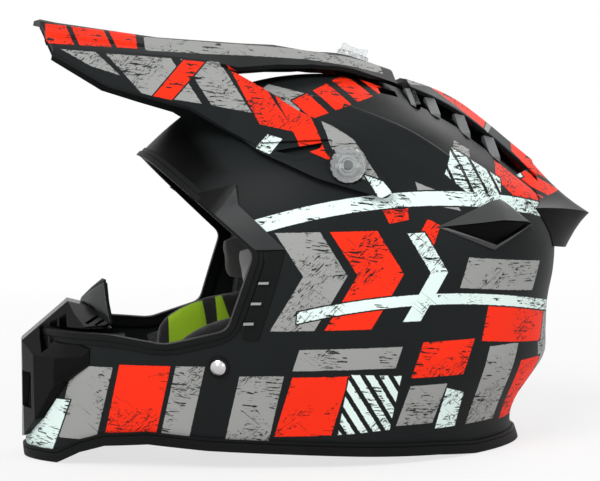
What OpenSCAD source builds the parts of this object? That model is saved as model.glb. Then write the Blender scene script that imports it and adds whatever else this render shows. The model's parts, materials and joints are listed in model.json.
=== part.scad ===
// Off-road motorcycle helmet with a tilting peak.
// The helmet faces -X and stands on the base edge of its chin bar and of its neck, on Z = 0.

/* [Shell] */
// Length of the shell from the chin to the back of the head
shell_l = 345; // [335:1:355]
// Width of the shell
shell_w = 236; // [228:1:244]
// Height of the crown above the base
shell_h = 240; // [236:1:244]
// Wall of the moulded shell
shell_t = 4; // [3:0.5:5]
// Gap left between neighbouring pieces
gap = 0.3; // [0.2:0.05:0.4]

/* [Face opening] */
// Height of the opening's lower edge at the sides
port_low = 77; // [74:1:80]
// Height of the opening's lower edge at the front
port_front_low = 82; // [79:1:85]
// Height of the opening's rear lower corner
port_corner_z = 86; // [84:1:90]
// Place of the rear lower corner along the helmet
port_corner_x = -58; // [-61:1:-55]
// Height of the opening's rear upper corner
port_rear_z = 132; // [128:1:136]
// Place of the rear upper corner along the helmet
port_rear_x = -42; // [-45:1:-39]
// Height of the brow at the middle of the face
brow_z = 190; // [187:1:193]
// Width of the rubber edging round the opening
edging_w = 7; // [5:0.5:9]
// How far the edging stands out of the shell
edging_proud = 1.6; // [1:0.2:2.2]

/* [Base edge] */
// Height of the rubber band along the base edge
band_h = 8; // [6:0.5:10]
// How far the band stands out of the shell
band_proud = 2; // [1:0.25:3]
// Height of the arch in the band under the jaw
jaw_arch = 15; // [12:1:18]
// Height of the arch in the band under the ear
ear_arch = 9; // [7:1:11]

/* [Peak] */
// Place of the side screws along the helmet
screw_x = 14; // [12:1:16]
// Drop of the side screws below the crown
screw_drop = 57; // [55:1:59]
// How far the tip reaches in front of the side screws
peak_reach = 181; // [170:1:190]
// Height of the tip above the side screws
tip_rise = 93; // [86:1:98]
// Height of the middle plate over the crown
plate_over = 13; // [12.5:0.25:15]
// Wall of the peak
peak_t = 3; // [2.5:0.25:3.5]
// Clearance between the shell and the peak's side arms
arm_lift = 2; // [1.75:0.25:3]
// How far the tip swings up, in degrees
swing_up = 6; // [3:1:7]
// How far the tip swings down, in degrees
swing_down = 2; // [1:1:3]
// Half the width of the peak in front of the shell
hood_half = 76; // [72:1:80]
// Half the width of the middle plate at its lower edges
plate_half = 33; // [31:1:35]
// Half the width of the middle plate's flat top
plate_flat = 18; // [16:1:20]
// Drop of the middle plate's sides
plate_drop = 9; // [8:0.5:10]
// Angle behind the vertical at which the plate ends, seen from the side screws
plate_end = 38; // [36:1:39]

/* [Screws and rivets] */
// Radius of the screws' threaded shafts
shaft_r = 3; // [2.5:0.25:3.5]
// Radius of a screw's round head
head_r = 10.5; // [9:0.5:12]
// Height of a screw's round head
head_h = 4; // [3:0.5:5]
// Height of the thumb wing over the head
wing_h = 5; // [4:0.5:7]
// Angle of the top screw behind the vertical
top_lean = 18.5; // [17:0.5:20]
// Running clearance round the screws' shafts
running = 0.05; // [0.02:0.01:0.1]
// Wall of the bushes that the peak turns on
bush_t = 3; // [2:0.25:3.5]
// Radius of the threaded inserts in the shell
insert_r = 5; // [4.5:0.25:6]
// Length of the threaded inserts
insert_l = 12; // [10:0.5:13]
// Place of the strap rivets along the helmet
rivet_x = -63; // [-66:1:-60]
// Height of the strap rivets
rivet_z = 64; // [62:1:66]
// Radius of a rivet's domed head
rivet_r = 5; // [4.5:0.25:6]

/* [Crown vents] */
// Half the width of the spine over the crown vents
spine_half = 34; // [32:1:36]
// Wall of the spine
spine_t = 3; // [2.5:0.25:4]
// Number of vents on each side
vent_count = 4; // [3:1:4]
// Distance from one vent to the next
vent_pitch = 19; // [18:0.5:20]
// Length of one vent
vent_l = 12; // [10:1:13]
// Width of one vent
vent_w = 11; // [9:1:13]
// Distance of the vents from the middle
vent_y = 41; // [39:1:43]
// Wall of the wires in the meshes
wire_t = 0.8; // [0.6:0.1:1]

/* [Tail] */
// How far the tail's tip stands out behind the shell
tail_out = 31; // [25:1:35]
// Depth of the tail's tip below the crown
tail_drop = 95; // [92:1:98]

/* [Nose guard] */
// Wall of the nose guard
nose_t = 3.2; // [2.4:0.2:4]

/* [Inside] */
// Half the width of the space for the head
head_half_w = 76; // [73:1:79]
// Place of the back of the head space
head_back = 126; // [122:1:130]
// Place of the forehead in the head space
head_front = -68; // [-72:1:-64]
// Depth of the top of the head space below the crown
head_drop = 36; // [32:1:40]
// Thickness of the quilted crown liner
liner_t = 8; // [6:0.5:10]
// Half the distance between the cheek pads
cheek_half = 60; // [56:1:64]
// Width of the chin strap's webbing
webbing_w = 24; // [20:1:26]
// Thickness of the webbing
webbing_t = 2; // [1.5:0.25:2.5]
// Radius of the wire of the D-rings
ring_r = 1.75; // [1.5:0.25:2]

/* [Hidden] */
around = 44;      // points round each ring of the shell
rise = 20;        // rings from the base to the crown
below = -8;       // where the rings start, under the base edge
black = [0.06, 0.06, 0.065];
charcoal = [0.14, 0.145, 0.145];
foam_grey = [0.2, 0.2, 0.21];
cloth_black = [0.05, 0.05, 0.05];
cloth_green = [0.55, 0.75, 0.1];
steel = [0.75, 0.75, 0.76];
brass = [0.7, 0.55, 0.25];
clear = [0.85, 0.88, 0.9];

// Outline of the shell at its nominal size: height, front, back and half width
outline = [
    [below, -177, 143, 92],
    [4, -179, 140, 93],
    [14, -179, 137, 95],
    [28, -178, 141, 98.5],
    [40, -176.5, 149, 102],
    [56, -174, 159, 107],
    [72, -170, 160, 111],
    [92, -164, 161, 115],
    [112, -155, 165, 117.5],
    [130, -145, 166, 118],
    [145, -136, 163, 116.5],
    [160, -126, 157, 113],
    [176, -114, 140, 107],
    [190, -102, 123, 98.5],
    [205, -86, 105, 86],
    [218, -69, 87, 68],
    [226, -55, 73, 55],
    [232, -40, 60, 42],
    [236, -26, 47, 30],
    [238.5, -12, 34, 18],
    [240, 12, 12, 0],
];
nominal_l = max([for (r = outline) r[2]]) - min([for (r = outline) r[1]]);
nominal_w = 2 * max([for (r = outline) r[3]]);
nominal_h = outline[len(outline) - 1][0];
widest_x = 20;    // where the rings are widest

screw_z = shell_h - screw_drop;
plate_r = screw_drop + plate_over;      // the plate's top, from the line through the side screws
lift = screw_z - 183;                   // moves the peak's outlines with its screws
tall = shell_h / nominal_h;             // stretches the typed heights with the shell
head_top = shell_h - head_drop;
tail_z = shell_h - tail_drop;

// ---- Curves and surfaces ----

// Stretches the height so that the crown is evenly stepped
function level(z) = 1 - sqrt(max(0, (shell_h - z) / (shell_h - below)));
function height(s) = shell_h - (shell_h - below) * (1 - s) * (1 - s);

rows = [for (r = outline) [
    level(r[0] <= 0 ? r[0] : r[0] * shell_h / nominal_h),
    r[1] * shell_l / nominal_l, r[2] * shell_l / nominal_l, r[3] * shell_w / nominal_w]];

// A smooth curve through column c of a table whose first column rises
function slope(t, i, c) =
    let (a = max(0, i - 1), b = min(len(t) - 1, i + 1)) (t[b][c] - t[a][c]) / (t[b][0] - t[a][0]);
function span(t, x, i = 0) = i >= len(t) - 2 || x < t[i + 1][0] ? i : span(t, x, i + 1);
function curve(t, x, c) =
    let (i = span(t, x), w = t[i + 1][0] - t[i][0], u = min(1, max(0, (x - t[i][0]) / w)),
         a = t[i][c], b = t[i + 1][c], p = slope(t, i, c) * w, q = slope(t, i + 1, c) * w)
    a + u * p + u * u * (3 * (b - a) - 2 * p - q) + u * u * u * (2 * (a - b) + p + q);

function half_w(z) = curve(rows, level(z), 3);
function front_x(z) = curve(rows, level(z), 1);
function back_x(z) = curve(rows, level(z), 2);
function front_n(z) = 1.82 + 0.25 * max(0, min(1, (z - 90) / 90));   // how full the front of a ring is
function back_n(z) = 1.75 + 0.35 * max(0, min(1, z / 60));           // how full its back is
function middle_x(z) =
    max(front_x(z) + 2, min(back_x(z) - 2, widest_x - 8 * max(0, (z - shell_h + 40) / 40)));

// Half width of the shell at a place seen from the side, or 0 outside it
function side_y(x, z) =
    let (m = middle_x(z), reach = x < m ? m - front_x(z) : back_x(z) - m, n = x < m ? front_n(z) : back_n(z),
         u = min(1, abs(x - m) / reach))
    half_w(z) * pow(1 - pow(u, n), 1 / n);

// The shell's normal there, for the side at +Y
function side_normal(x, z) =
    let (d = 0.5, gx = (side_y(x + d, z) - side_y(x - d, z)) / (2 * d),
         gz = (side_y(x, z + d) - side_y(x, z - d)) / (2 * d))
    [-gx, 1, -gz] / norm([gx, 1, gz]);

// Place of the shell's front at a distance y from the middle
function nose_x(y, z) = let (m = middle_x(z), n = front_n(z))
    m - (m - front_x(z)) * pow(1 - pow(abs(y) / half_w(z), n), 1 / n);

// A point on the shell's side at (x, z), moved out by off along the normal
function side_point(x, z, off) = [x, side_y(x, z), z] + off * side_normal(x, z);

// Height of the shell's dome over (x, y)
function dome_z(x, y, low = 110, high = shell_h, n = 14) =
    n == 0 ? low
    : let (z = (low + high) / 2)
      (x > front_x(z) && x < back_x(z) && side_y(x, z) > abs(y))
      ? dome_z(x, y, z, high, n - 1) : dome_z(x, y, low, z, n - 1);

// One ring of the shell, grown by off along its normal
function ring(s, off, count) =
    let (z = height(s), d = 1, dw = z > shell_h - 1.2 ? -12 : (half_w(z + d) - half_w(z - d)) / (2 * d),
         n = norm([1, dw]), m = middle_x(z), grow = off / n,
         a = m - front_x(z) + grow, b = back_x(z) - m + grow, w = half_w(z) + grow)
    [for (i = [0:count - 1])
        let (t = 360 * i / count, c = cos(t), s = sin(t), k = c < 0 ? front_n(z) : back_n(z))
        [m + (c < 0 ? -a : b) * pow(abs(c), 2 / k), w * sign(s) * pow(abs(s), 2 / k), z - off * dw / n]];

// ---- Building blocks ----

// A closed solid through a stack of rings
module stack(rings) {
    n = len(rings[0]);
    m = len(rings);
    polyhedron(
        points = [for (r = rings) each r],
        faces = concat(
            [[for (i = [0:n - 1]) i]],
            [for (j = [0:m - 2], i = [0:n - 1]) each
                let (a = j * n + i, b = j * n + (i + 1) % n) [[a, a + n, b], [b, a + n, b + n]]],
            [[for (i = [0:n - 1]) m * n - 1 - i]]));
}

// A closed solid through outlines in the XZ plane, one at each y, given from -Y to +Y
module loft(ys, outlines) {
    stack([for (i = [0:len(ys) - 1]) [for (p = outlines[i]) [p[0], ys[i], p[1]]]]);
}

// Outlines given from the middle outwards, mirrored to both sides
function both_ys(ys) = concat([for (i = [len(ys) - 1:-1:1]) -ys[i]], ys);
function both(list) = concat([for (i = [len(list) - 1:-1:1]) list[i]], list);

// The normal of a grid of points at one of them
function grid_normal(g, i, j) =
    let (a = g[min(i + 1, len(g) - 1)][j] - g[max(i - 1, 0)][j],
         b = g[i][min(j + 1, len(g[0]) - 1)] - g[i][max(j - 1, 0)], c = cross(a, b)) c / norm(c);

// A plate through a grid of points, thickened by t on its lower side
module plate(g, t) {
    n = len(g);
    m = len(g[0]);
    k = n * m;
    rim = concat([for (j = [0:m - 1]) j], [for (i = [1:n - 1]) i * m + m - 1],
        [for (j = [m - 2:-1:0]) (n - 1) * m + j], [for (i = [n - 2:-1:1]) i * m]);
    polyhedron(
        points = concat([for (r = g) each r], [for (i = [0:n - 1], j = [0:m - 1]) g[i][j] - t * grid_normal(g, i, j)]),
        faces = concat(
            [for (i = [0:n - 2], j = [0:m - 2]) each
                let (a = i * m + j) [[a, a + 1, a + m], [a + 1, a + m + 1, a + m]]],
            [for (i = [0:n - 2], j = [0:m - 2]) each
                let (a = k + i * m + j) [[a, a + m, a + 1], [a + 1, a + m, a + m + 1]]],
            [for (q = [0:len(rim) - 1]) each
                let (a = rim[q], b = rim[(q + 1) % len(rim)]) [[a, k + a, b], [b, k + a, k + b]]]));
}

// The whole closed form of the shell, grown by off
module form(off = 0, count = around, steps = rise) {
    stack([for (j = [0:steps]) ring(0.995 * j / steps, off, count)]);
}

// The layer of the form between two offsets
module layer(inner, outer) {
    difference() {
        form(outer);
        form(inner);
    }
}

// Extrudes a side-view outline right through the helmet
module across(half = 200) {
    rotate([90, 0, 0]) linear_extrude(2 * half, center = true) children();
}

// Keeps one side of a pair
module one_side(side) {
    intersection() {
        children();
        translate([-300, side > 0 ? 5 : -305, -50]) cube([600, 300, 400]);
    }
}

// Keeps a carved form as one mesh
module skin() {
    resize([0, 0, 0]) children();
}

// Stands its children on the shell's side at (x, z), with +Z along the outward normal
module on_side(x, z, off, side) {
    n = side_normal(x, z);
    p = side_point(x, z, off);
    translate([p[0], side * p[1], p[2]]) rotate([0, acos(n[2]), side * atan2(n[1], n[0])]) children();
}

// Places its children on a side screw's axis, +Z outwards
module on_screw(side, y) {
    translate([screw_x, side * y, screw_z]) rotate([-90 * side, 0, 0]) children();
}

// Places its children on the top screw's axis at a distance from the line through the side screws
module on_top(r) {
    translate([screw_x, 0, screw_z]) rotate([0, top_lean, 0]) translate([0, 0, r]) children();
}

// Moves a piece so that the object's middle is over the origin
guard_x = -181.5 - (shell_l - nominal_l) / 2;
tail_reach = back_x(tail_z) + tail_out;
module placed() {
    translate([-(tail_reach + guard_x) / 2, 0, 0]) children();
}

// ---- Outlines seen from the side ----

module port_outline() {
    polygon([
        [-260, port_front_low], [-126, port_front_low], [-94, port_low], [port_corner_x, port_corner_z],
        [port_rear_x, port_rear_z], [front_x(brow_z), brow_z], [-260, brow_z]]);
}

base_edge = [
    [-260, 0], [-160, 0], [-146, jaw_arch - 7], [-131, jaw_arch - 2], [-105, jaw_arch], [-70, jaw_arch - 3.5],
    [-24, ear_arch], [73, ear_arch - 6], [100, 0], [260, 0]];

module above_base(lift = 0) {
    polygon(concat([for (p = base_edge) [p[0], p[1] + lift]], [[260, 300], [-260, 300]]));
}

rear_vent_outline = [[67, 145], [111, 161], [135, 143.5], [105, 129.5]];
arm_outline = [for (p = [
    [-30, 231], [-8, 214.5], [12, 204.5], [26, 193], [41, 167], [36, 162.5], [-4, 175.5], [-36, 191.5], [-46, 200]])
    [p[0], p[1] + lift]];
arm_slot = [for (p = [[-27, 192], [2, 196.5], [0, 193], [-15, 189]]) [p[0], p[1] + lift]];

// ---- Shell ----

vent_xs = [for (i = [0:vent_count - 1]) 52 + vent_pitch * i];
seat_r = plate_r - 0.6;              // the top screw's head turns on this radius
head_y = side_y(screw_x, screw_z - head_r) + arm_lift + 1;   // face of the arm's pod
post_r = plate_r - peak_t - 1.6;

// Stands its children on the crown at a vent, with +Z along the outward normal
module at_vent(x, side) {
    gx = dome_z(x + 1, vent_y) - dome_z(x - 1, vent_y);
    gy = dome_z(x, vent_y + 1) - dome_z(x, vent_y - 1);
    n = [-gx / 2, -side * gy / 2, 1] / norm([gx / 2, gy / 2, 1]);
    translate([x, side * vent_y, dome_z(x, vent_y)]) rotate([0, 0, atan2(n[1], n[0])])
        rotate([0, acos(n[2]), 0]) rotate([0, 0, -atan2(n[1], n[0])]) children();
}

module vent_holes() {
    for (side = [-1, 1], x = vent_xs) at_vent(x, side) cube([vent_l, vent_w, 24], center = true);
}

module mouth_slots(grow = 0) {
    for (side = [-1, 1])
        translate([-190, side * 15 - 9 - grow, 33 - grow]) cube([60, 18 + 2 * grow, 22 + 2 * grow]);
}

module shell() {
    color(black) skin() difference() {
        union() {
            intersection() {
                layer(-shell_t, 0);
                across() above_base(3 + gap);
            }
            difference() {
                on_top(40) cylinder(r = insert_r + 3, h = post_r - 40, $fn = 32);
                form(-shell_t);
            }
        }
        across() offset(delta = 2) port_outline();
        vent_holes();
        mouth_slots();
        across() offset(delta = -6) polygon(rear_vent_outline);
        for (side = [-1, 1]) {
            on_screw(side, 60) cylinder(r = insert_r + 0.1, h = 60, $fn = 32);
            on_side(rivet_x, rivet_z, -10, side) cylinder(r = 2.6, h = 20, $fn = 20);
        }
        on_top(30) cylinder(r = insert_r + 0.1, h = 60, $fn = 32);
    }
}

module port_edging() {
    color(black) skin() intersection() {
        difference() {
            layer(-shell_t - gap - 1.5, edging_proud);
            difference() {
                layer(-shell_t - gap, gap);
                across() offset(delta = 2 - gap) port_outline();
            }
        }
        difference() {
            across() offset(delta = edging_w) port_outline();
            across() port_outline();
        }
    }
}

module base_band() {
    color(charcoal) skin() difference() {
        intersection() {
            layer(-shell_t - gap - 1.7, band_proud);
            across() above_base(0);
        }
        across() above_base(band_h);
        intersection() {
            layer(-shell_t - gap, gap);
            across() above_base(3);
        }
    }
}

// ---- Foam and padding ----

head_l = head_back - head_front;
// One ring of the space for the head, grown by off
function head_ring(z, off, count) =
    let (mid = (head_front + head_back) / 2, u = max(0, (z - 125) / (head_top - 125)), k = sqrt(max(0.0004, 1 - u * u)),
         low = max(0, (125 - z) / 125), a = (head_l / 2 - 12 * low) * k + off * (0.4 + 0.6 * k),
         b = (head_half_w - 5 * low) * k + off * (0.4 + 0.6 * k))
    [for (i = [0:count - 1]) let (t = 360 * i / count)
        [mid + a * sign(cos(t)) * pow(abs(cos(t)), 0.93), b * sign(sin(t)) * pow(abs(sin(t)), 0.93), z + off * u]];

head_levels = [-10, 30, 70, 105, 125, 142, 158, 172, 183, 192, 198, 202, 203.8];
module head_form(off = 0, count = 32) {
    stack([for (z = head_levels) head_ring(z <= 125 ? z : 125 + (z - 125) * (head_top - 125) / 79, off, count)]);
}

module eps_region() {
    polygon([[-112, 200], [-98, 158], [-62, 118], [44, 118], [62, 34], [200, 34], [200, 260], [-112, 260]]);
}

module eps_liner() {
    color(foam_grey) skin() difference() {
        intersection() {
            form(-shell_t - gap - 1.55, 30, 15);
            across() eps_region();
        }
        head_form(liner_t + gap);
        translate([-140, -60, 60]) cube([104, 120, 120]);
        across() offset(delta = edging_w + 1) port_outline();
        for (side = [-1, 1]) on_screw(side, 60) cylinder(r = insert_r + 1, h = 60, $fn = 20);
        on_top(30) cylinder(r = insert_r + 1, h = 60, $fn = 20);
    }
}

module chin_eps() {
    color(foam_grey) skin() difference() {
        intersection() {
            difference() {
                form(-shell_t - gap);
                form(-shell_t - gap - 18);
            }
            translate([-200, -100, 24]) cube([200 - 112, 200, 44]);
        }
        mouth_slots(1);
        for (side = [-1, 1]) at_mouth(side) cube([6, 25, 29], center = true);
    }
}

module cheek_block(side) {
    across() polygon([[-104, 30], [-104, 64], [-58, 74], [-36, 84], [-30, 117], [42, 117], [46, 34], [36, 26]]);
}

module cheek_eps(side) {
    color(foam_grey) skin() one_side(side) difference() {
        intersection() {
            form(-shell_t - gap - 1.6);
            cheek_block(side);
        }
        translate([-200, -head_half_w - gap, -10]) cube([400, 2 * (head_half_w + gap), 200]);
        translate([rivet_x - webbing_w / 2 - 2, side > 0 ? 68 : -118, 0]) cube([webbing_w + 4, 50, rivet_z + 12]);
    }
}

// How full the quilted liner is at a place round the head
function quilt(i, count, z) =
    let (a = abs(sin(360 * 4 * (i + 0.5) / count)), b = abs(sin(180 * (z - 122) / 27)))
    0.38 + 0.62 * sqrt(sqrt(a * b));

module crown_liner() {
    n = 32;
    color(cloth_black) skin() difference() {
        intersection() {
            head_form(liner_t);
            across() polygon([[-90, 160], [-52, 121], [130, 121], [150, 260], [-90, 260]]);
        }
        across() offset(delta = edging_w + 1) port_outline();
        stack([for (z = concat([100], [for (k = [0:8]) 121 + 9.9 * k], [202.5]))
            let (zz = z <= 125 ? z : 125 + (z - 125) * (head_top - 125) / 79)
            [for (i = [0:n - 1])
                let (f = z < 120 ? 0 : liner_t * (1 - quilt(i, n, z)), r = head_ring(zz, f, n)) r[i]]]);
    }
}

// A crowned pad over a side-view outline, its back at y0 and its crown at y1
module pad(outline, y0, y1, side) {
    mid = [for (k = [0:1]) [for (p = outline) p[k]] * [for (p = outline) 1] / len(outline)];
    t = y0 - y1;
    steps = [[0.94, 0], [1, 0.12], [1, 0.55], [0.95, 0.82], [0.84, 0.95], [0.55, 1], [0.2, 0.97]];
    mirror([0, side < 0 ? 1 : 0, 0])
        stack([for (s = steps) [for (p = outline)
            let (x = mid[0] + (p[0] - mid[0]) * s[0], z = mid[1] + (p[1] - mid[1]) * s[0],
                 seam = exp(-pow((x - mid[0] - 12 - 0.25 * (z - mid[1])) / 5, 2)))
            [x, y0 - t * s[1] * (1 - 0.3 * seam * (s[1] > 0.5 ? 1 : 0)), z]]]);
}

cheek_shape = [for (i = [0:31]) let (t = 360 * i / 32)
    [-27 + 64 * sign(cos(t)) * pow(abs(cos(t)), 0.7) + 6 * sin(t), 64 + (31 + 6 * cos(t)) * sign(sin(t)) * pow(abs(sin(t)), 0.7)]];

module cheek_pad(side) {
    color(cloth_green) pad(cheek_shape, head_half_w - gap, cheek_half, side);
}

module neck_roll() {
    n = 26;
    k = 10;
    color(cloth_black) stack([for (j = [0:n])
        let (t = -74 + 148 * j / n, mid = [30, 0, 23.3], a = back_x(17) - 42.3, b = half_w(17) - 20, e = min(1, 0.35 + 4 * min(j, n - j) / n),
             swell = 1 - 0.12 * pow(cos(180 * 5 * j / n), 8))
        [for (i = [0:k - 1]) let (u = -360 * i / k, r = 8 * e * swell)
            mid + [(a + r * cos(u)) * cos(t), (b + r * cos(u)) * sin(t), 1.3 * r * sin(u)]]]);
}

// ---- Trim ----

module port_trim(side) {
    color(charcoal) skin() one_side(side) difference() {
        intersection() {
            layer(gap, gap + 1.6);
            across() polygon([[-64, 77], [-58, 86], [-42, 132], [-24, 134], [-30, 112], [-40, 80], [-52, 74]]);
        }
        across() offset(delta = edging_w + gap) port_outline();
        for (i = [0:2])
            translate([-46 + 4 * i, -150, 90 + 12 * i]) cube([6, 300, 1.6]);
    }
}

module brow_trim(side) {
    color(charcoal) skin() one_side(side) difference() {
        intersection() {
            layer(gap, gap + 2.6);
            across() polygon([[-80, 168], [-51, 171.5], [-38, 157], [-24, 134.5], [-42, 134], [-60, 150]]);
        }
        across() offset(delta = edging_w + gap) port_outline();
    }
}

module rear_vent(side) {
    color(charcoal) skin() one_side(side) difference() {
        intersection() {
            layer(gap, gap + 3);
            across() polygon(rear_vent_outline);
        }
        across() polygon([[84, 143], [106, 148], [126, 143], [105, 134]]);
    }
}

// The mouth guard before anything is cut from it
module guard_form() {
    ys = [0, 13, 28, 44, 56];
    grow = [(shell_l - nominal_l) / 2, 0];
    low = front_x(74.5) - 11.1;
    top = front_x(99.5) + 9.8;
    rows = [
        [[guard_x + grow[0], 12], [-181, 30], [low, 74.5], [top, 99.5], [-134, 95], [-128, 80], [-150, 20]],
        [[-180, 14], [-180, 32], [low + 0.5, 74.5], [top + 0.5, 98.5], [-134, 94], [-128, 80], [-150, 22]],
        [[-173, 26], [-173, 40], [-173, 67], [-147, 92], [-131, 90], [-124, 78], [-145, 32]],
        [[-160, 50], [-161, 54], [-160, 66], [-141, 85], [-126, 86], [-118, 76], [-140, 52]],
        [[-141, 62], [-144, 64], [-144, 68], [-134, 76], [-122, 80], [-112, 74], [-125, 64]]];
    loft(both_ys(ys), both([for (r = rows) [for (p = r) p - grow]]));
}

module mouth_guard() {
    color(black) skin() difference() {
        guard_form();
        difference() {
            form(gap);
            translate([-260, -200, port_front_low + edging_proud + gap]) cube([260, 400, 120]);
        }
        intersection() {
            form(-shell_t - gap - 1.5 - gap);
            translate([-200, -100, -10]) cube([200, 200, port_front_low + edging_proud + gap + 10]);
        }
        intersection() {
            layer(-shell_t - 3, edging_proud + gap);
            across() offset(delta = edging_w + gap) port_outline();
            translate([-200, -100, 0]) cube([200, 200, port_front_low + edging_proud + gap]);
        }
        translate([-200, -100, band_h - 20]) cube([200, 200, 20 + gap]);
        mouth_slots(0.4);
    }
}

// Places its children behind a mouth slot, with X through the mesh
module at_mouth(side) {
    d = 1;
    n = [-1, (nose_x(15 + d, 44) - nose_x(15 - d, 44)) / (2 * d), (nose_x(15, 44 + d) - nose_x(15, 44 - d)) / (2 * d)];
    u = n / norm(n);
    p = [nose_x(15, 44), 15, 44] - (shell_t + gap + 2.1) * u;
    mirror([0, side < 0 ? 1 : 0, 0]) translate(p) rotate([0, 0, atan2(u[1], u[0]) - 180]) rotate([0, asin(u[2]), 0])
        children();
}

module mouth_mesh() {
    color(steel) for (side = [-1, 1]) at_mouth(side)
        difference() {
            cube([wire_t, 21, 25], center = true);
            for (i = [-2:2], j = [-2:2])
                translate([0, 3.9 * i, 4.6 * j]) cube([3, 2.9, 3.6], center = true);
        }
}

// A wedge of two wings that rises from the shelf of the mouth guard
module nose_guard() {
    low = port_front_low + edging_proud + 1;
    top = front_x(99.5) + 9.8;
    wing = [
        [[top + 8, 0, 90], [top + 15, 16, 82], [top + 28, 29.5, 76]],
        [[top + 8, 0, 96], [top + 15, 12, 97], [top + 24.5, 22, 97]],
        [[top + 9.5, 0, 99.6], [top + 16, 7.5, 105], [top + 23.5, 14.5, 110.2]]];
    color(black) difference() {
        plate([for (r = wing) concat([for (i = [2, 1]) [r[i][0], -r[i][1], r[i][2]]], r)], nose_t);
        translate([0, 0, gap]) guard_form();
        translate([-260, -100, 0]) cube([260, 200, low]);
    }
}

// ---- Crown and tail ----

spine_rows = [for (r = [
    [68, 236.5, 230], [84, 231, 222.5], [101, 222.5, 212.5], [118, 210, 199.5], [136, 195, 184], [150, 183.5, 172]])
    [r[0], r[1] * tall, r[2] * tall]];

module crown_spine() {
    color(black) skin() difference() {
        union() {
            plate([for (r = spine_rows) let (h = spine_half)
                [[r[0], -h, r[2]], [r[0], -h + 13, r[1] - 1.5], [r[0], 0, r[1]], [r[0], h - 13, r[1] - 1.5], [r[0], h, r[2]]]],
                spine_t);
            for (i = [0:vent_count]) let (x = 52 - vent_pitch / 2 + vent_pitch * i)
                translate([max(x, 68) - 3, 0, 0]) rotate([90, 0, 90]) linear_extrude(6)
                    let (top = curve(spine_rows, max(x, 68), 2), low = dome_z(max(x, 68), vent_y + 9))
                    for (s = [-1, 1]) polygon([
                        [s * (spine_half - 2), top - 1.5], [s * (spine_half - 8), top - 1.5], [s * (spine_half - 8), low - 8],
                        [s * (vent_y + 10), low - 8], [s * (vent_y + 10), low + 1.5]]);
            translate([68, -5, 150]) cube([80, 10, 84]);
        }
        form(gap);
        translate([-100, -100, -10]) cube([168, 200, 300]);
        across() polygon(concat([for (r = spine_rows) [r[0], r[1] - 1]], [[150, 300], [68, 300]]));
    }
    color(black) skin() intersection() {
        plate([for (r = spine_rows) let (h = spine_half)
            [[r[0], -h, r[2]], [r[0], -h + 13, r[1] - 1.5], [r[0], 0, r[1]], [r[0], h - 13, r[1] - 1.5], [r[0], h, r[2]]]],
            spine_t);
        translate([68, -100, 0]) cube([150, 200, 300]);
    }
}

module vent_mesh(side) {
    color(steel) for (x = vent_xs) at_vent(x, side) translate([0, 0, -shell_t - gap - wire_t]) difference() {
        cube([vent_l + 5, vent_w + 4, wire_t], center = true);
        for (i = [-1.5:1.5], j = [-1:1])
            translate([i * (vent_l + 3) / 4, j * (vent_w + 2.5) / 3, 0])
                cube([(vent_l + 3) / 4 - wire_t, (vent_w + 2.5) / 3 - wire_t, 3], center = true);
    }
}

module tail() {
    ys = [0, 18, 36, 54, 72];
    rows = [
        [[152, 182 * tall], [tail_reach, tail_z], [tail_reach - 18, tail_z - 21.5], [120, 130 * tall]],
        [[150, 181 * tall], [tail_reach - 6, tail_z + 2], [tail_reach - 21, tail_z - 20.5], [120, 130 * tall]],
        [[142, 176 * tall], [tail_reach - 22, tail_z + 5], [tail_reach - 30, tail_z - 19], [115, 130 * tall]],
        [[128, 172 * tall], [tail_reach - 42, tail_z + 7], [tail_reach - 45, tail_z - 16], [105, 132 * tall]],
        [[112, 166 * tall], [tail_reach - 66, tail_z + 8], [tail_reach - 66, tail_z - 11], [95, 140 * tall]]];
    color(black) skin() difference() {
        loft(both_ys(ys), both(rows));
        form(gap);
        across() offset(delta = gap) polygon(rear_vent_outline);
        translate([50, -spine_half - gap, 120]) cube([100 + gap, 2 * (spine_half + gap), 100]);
    }
}

// ---- Peak ----

// Moves a point of the peak's nominal shape with its reach and rise
function hood_point(p) =
    let (u = max(0, (-20 - p[0]) / 147))
    [p[0] - u * (peak_reach - 181), p[1], p[2] + u * (tip_rise - 93) + lift];

hood_tops = [[-167, 275.6], [-125, 269], [-90, 263.5], [-62, 261.2], [-38, 259.2]];
hood_edges = [[-156, 257.5], [-124, 254.8], [-90, 251.7], [-64, 248.5], [-42, 243.5]];

module peak_plate() {
    r = plate_r;
    arcs = [for (a = [-22, -14, -7, 0, 8, 16, 24, 31, plate_end])
        let (rr = r + (a < 0 ? 0.018 * a * a - 0.1 * a : 0) + (a > 20 ? 0.012 * (a - 20) * (a - 20) : 0))
        [screw_x + rr * sin(a), 183 + rr * cos(a)]];
    tops = concat(hood_tops, arcs);
    n = len(hood_tops);
    plate([for (i = [0:len(tops) - 1])
        let (front = i < n, t = tops[i], k = front ? 1 : 0,
             h = front ? 41 : i == n ? 38 : plate_half,
             e = front ? hood_edges[i] : [t[0], t[1] - plate_drop - (i == n ? 4 : 0)],
             nose = i == 0 ? 4 : 0, g = i == 0 ? 0 : 1)
        [hood_point([e[0], -h, e[1]]),
         hood_point([t[0] + nose, -plate_flat, t[1] - 1]),
         hood_point([t[0] + nose, -plate_flat + 6, t[1] + 0.4]),
         hood_point([t[0], 0, t[1] - g]),
         hood_point([t[0] + nose, plate_flat - 6, t[1] + 0.4]),
         hood_point([t[0] + nose, plate_flat, t[1] - 1]),
         hood_point([e[0], h, e[1]])]], peak_t);
}

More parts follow.
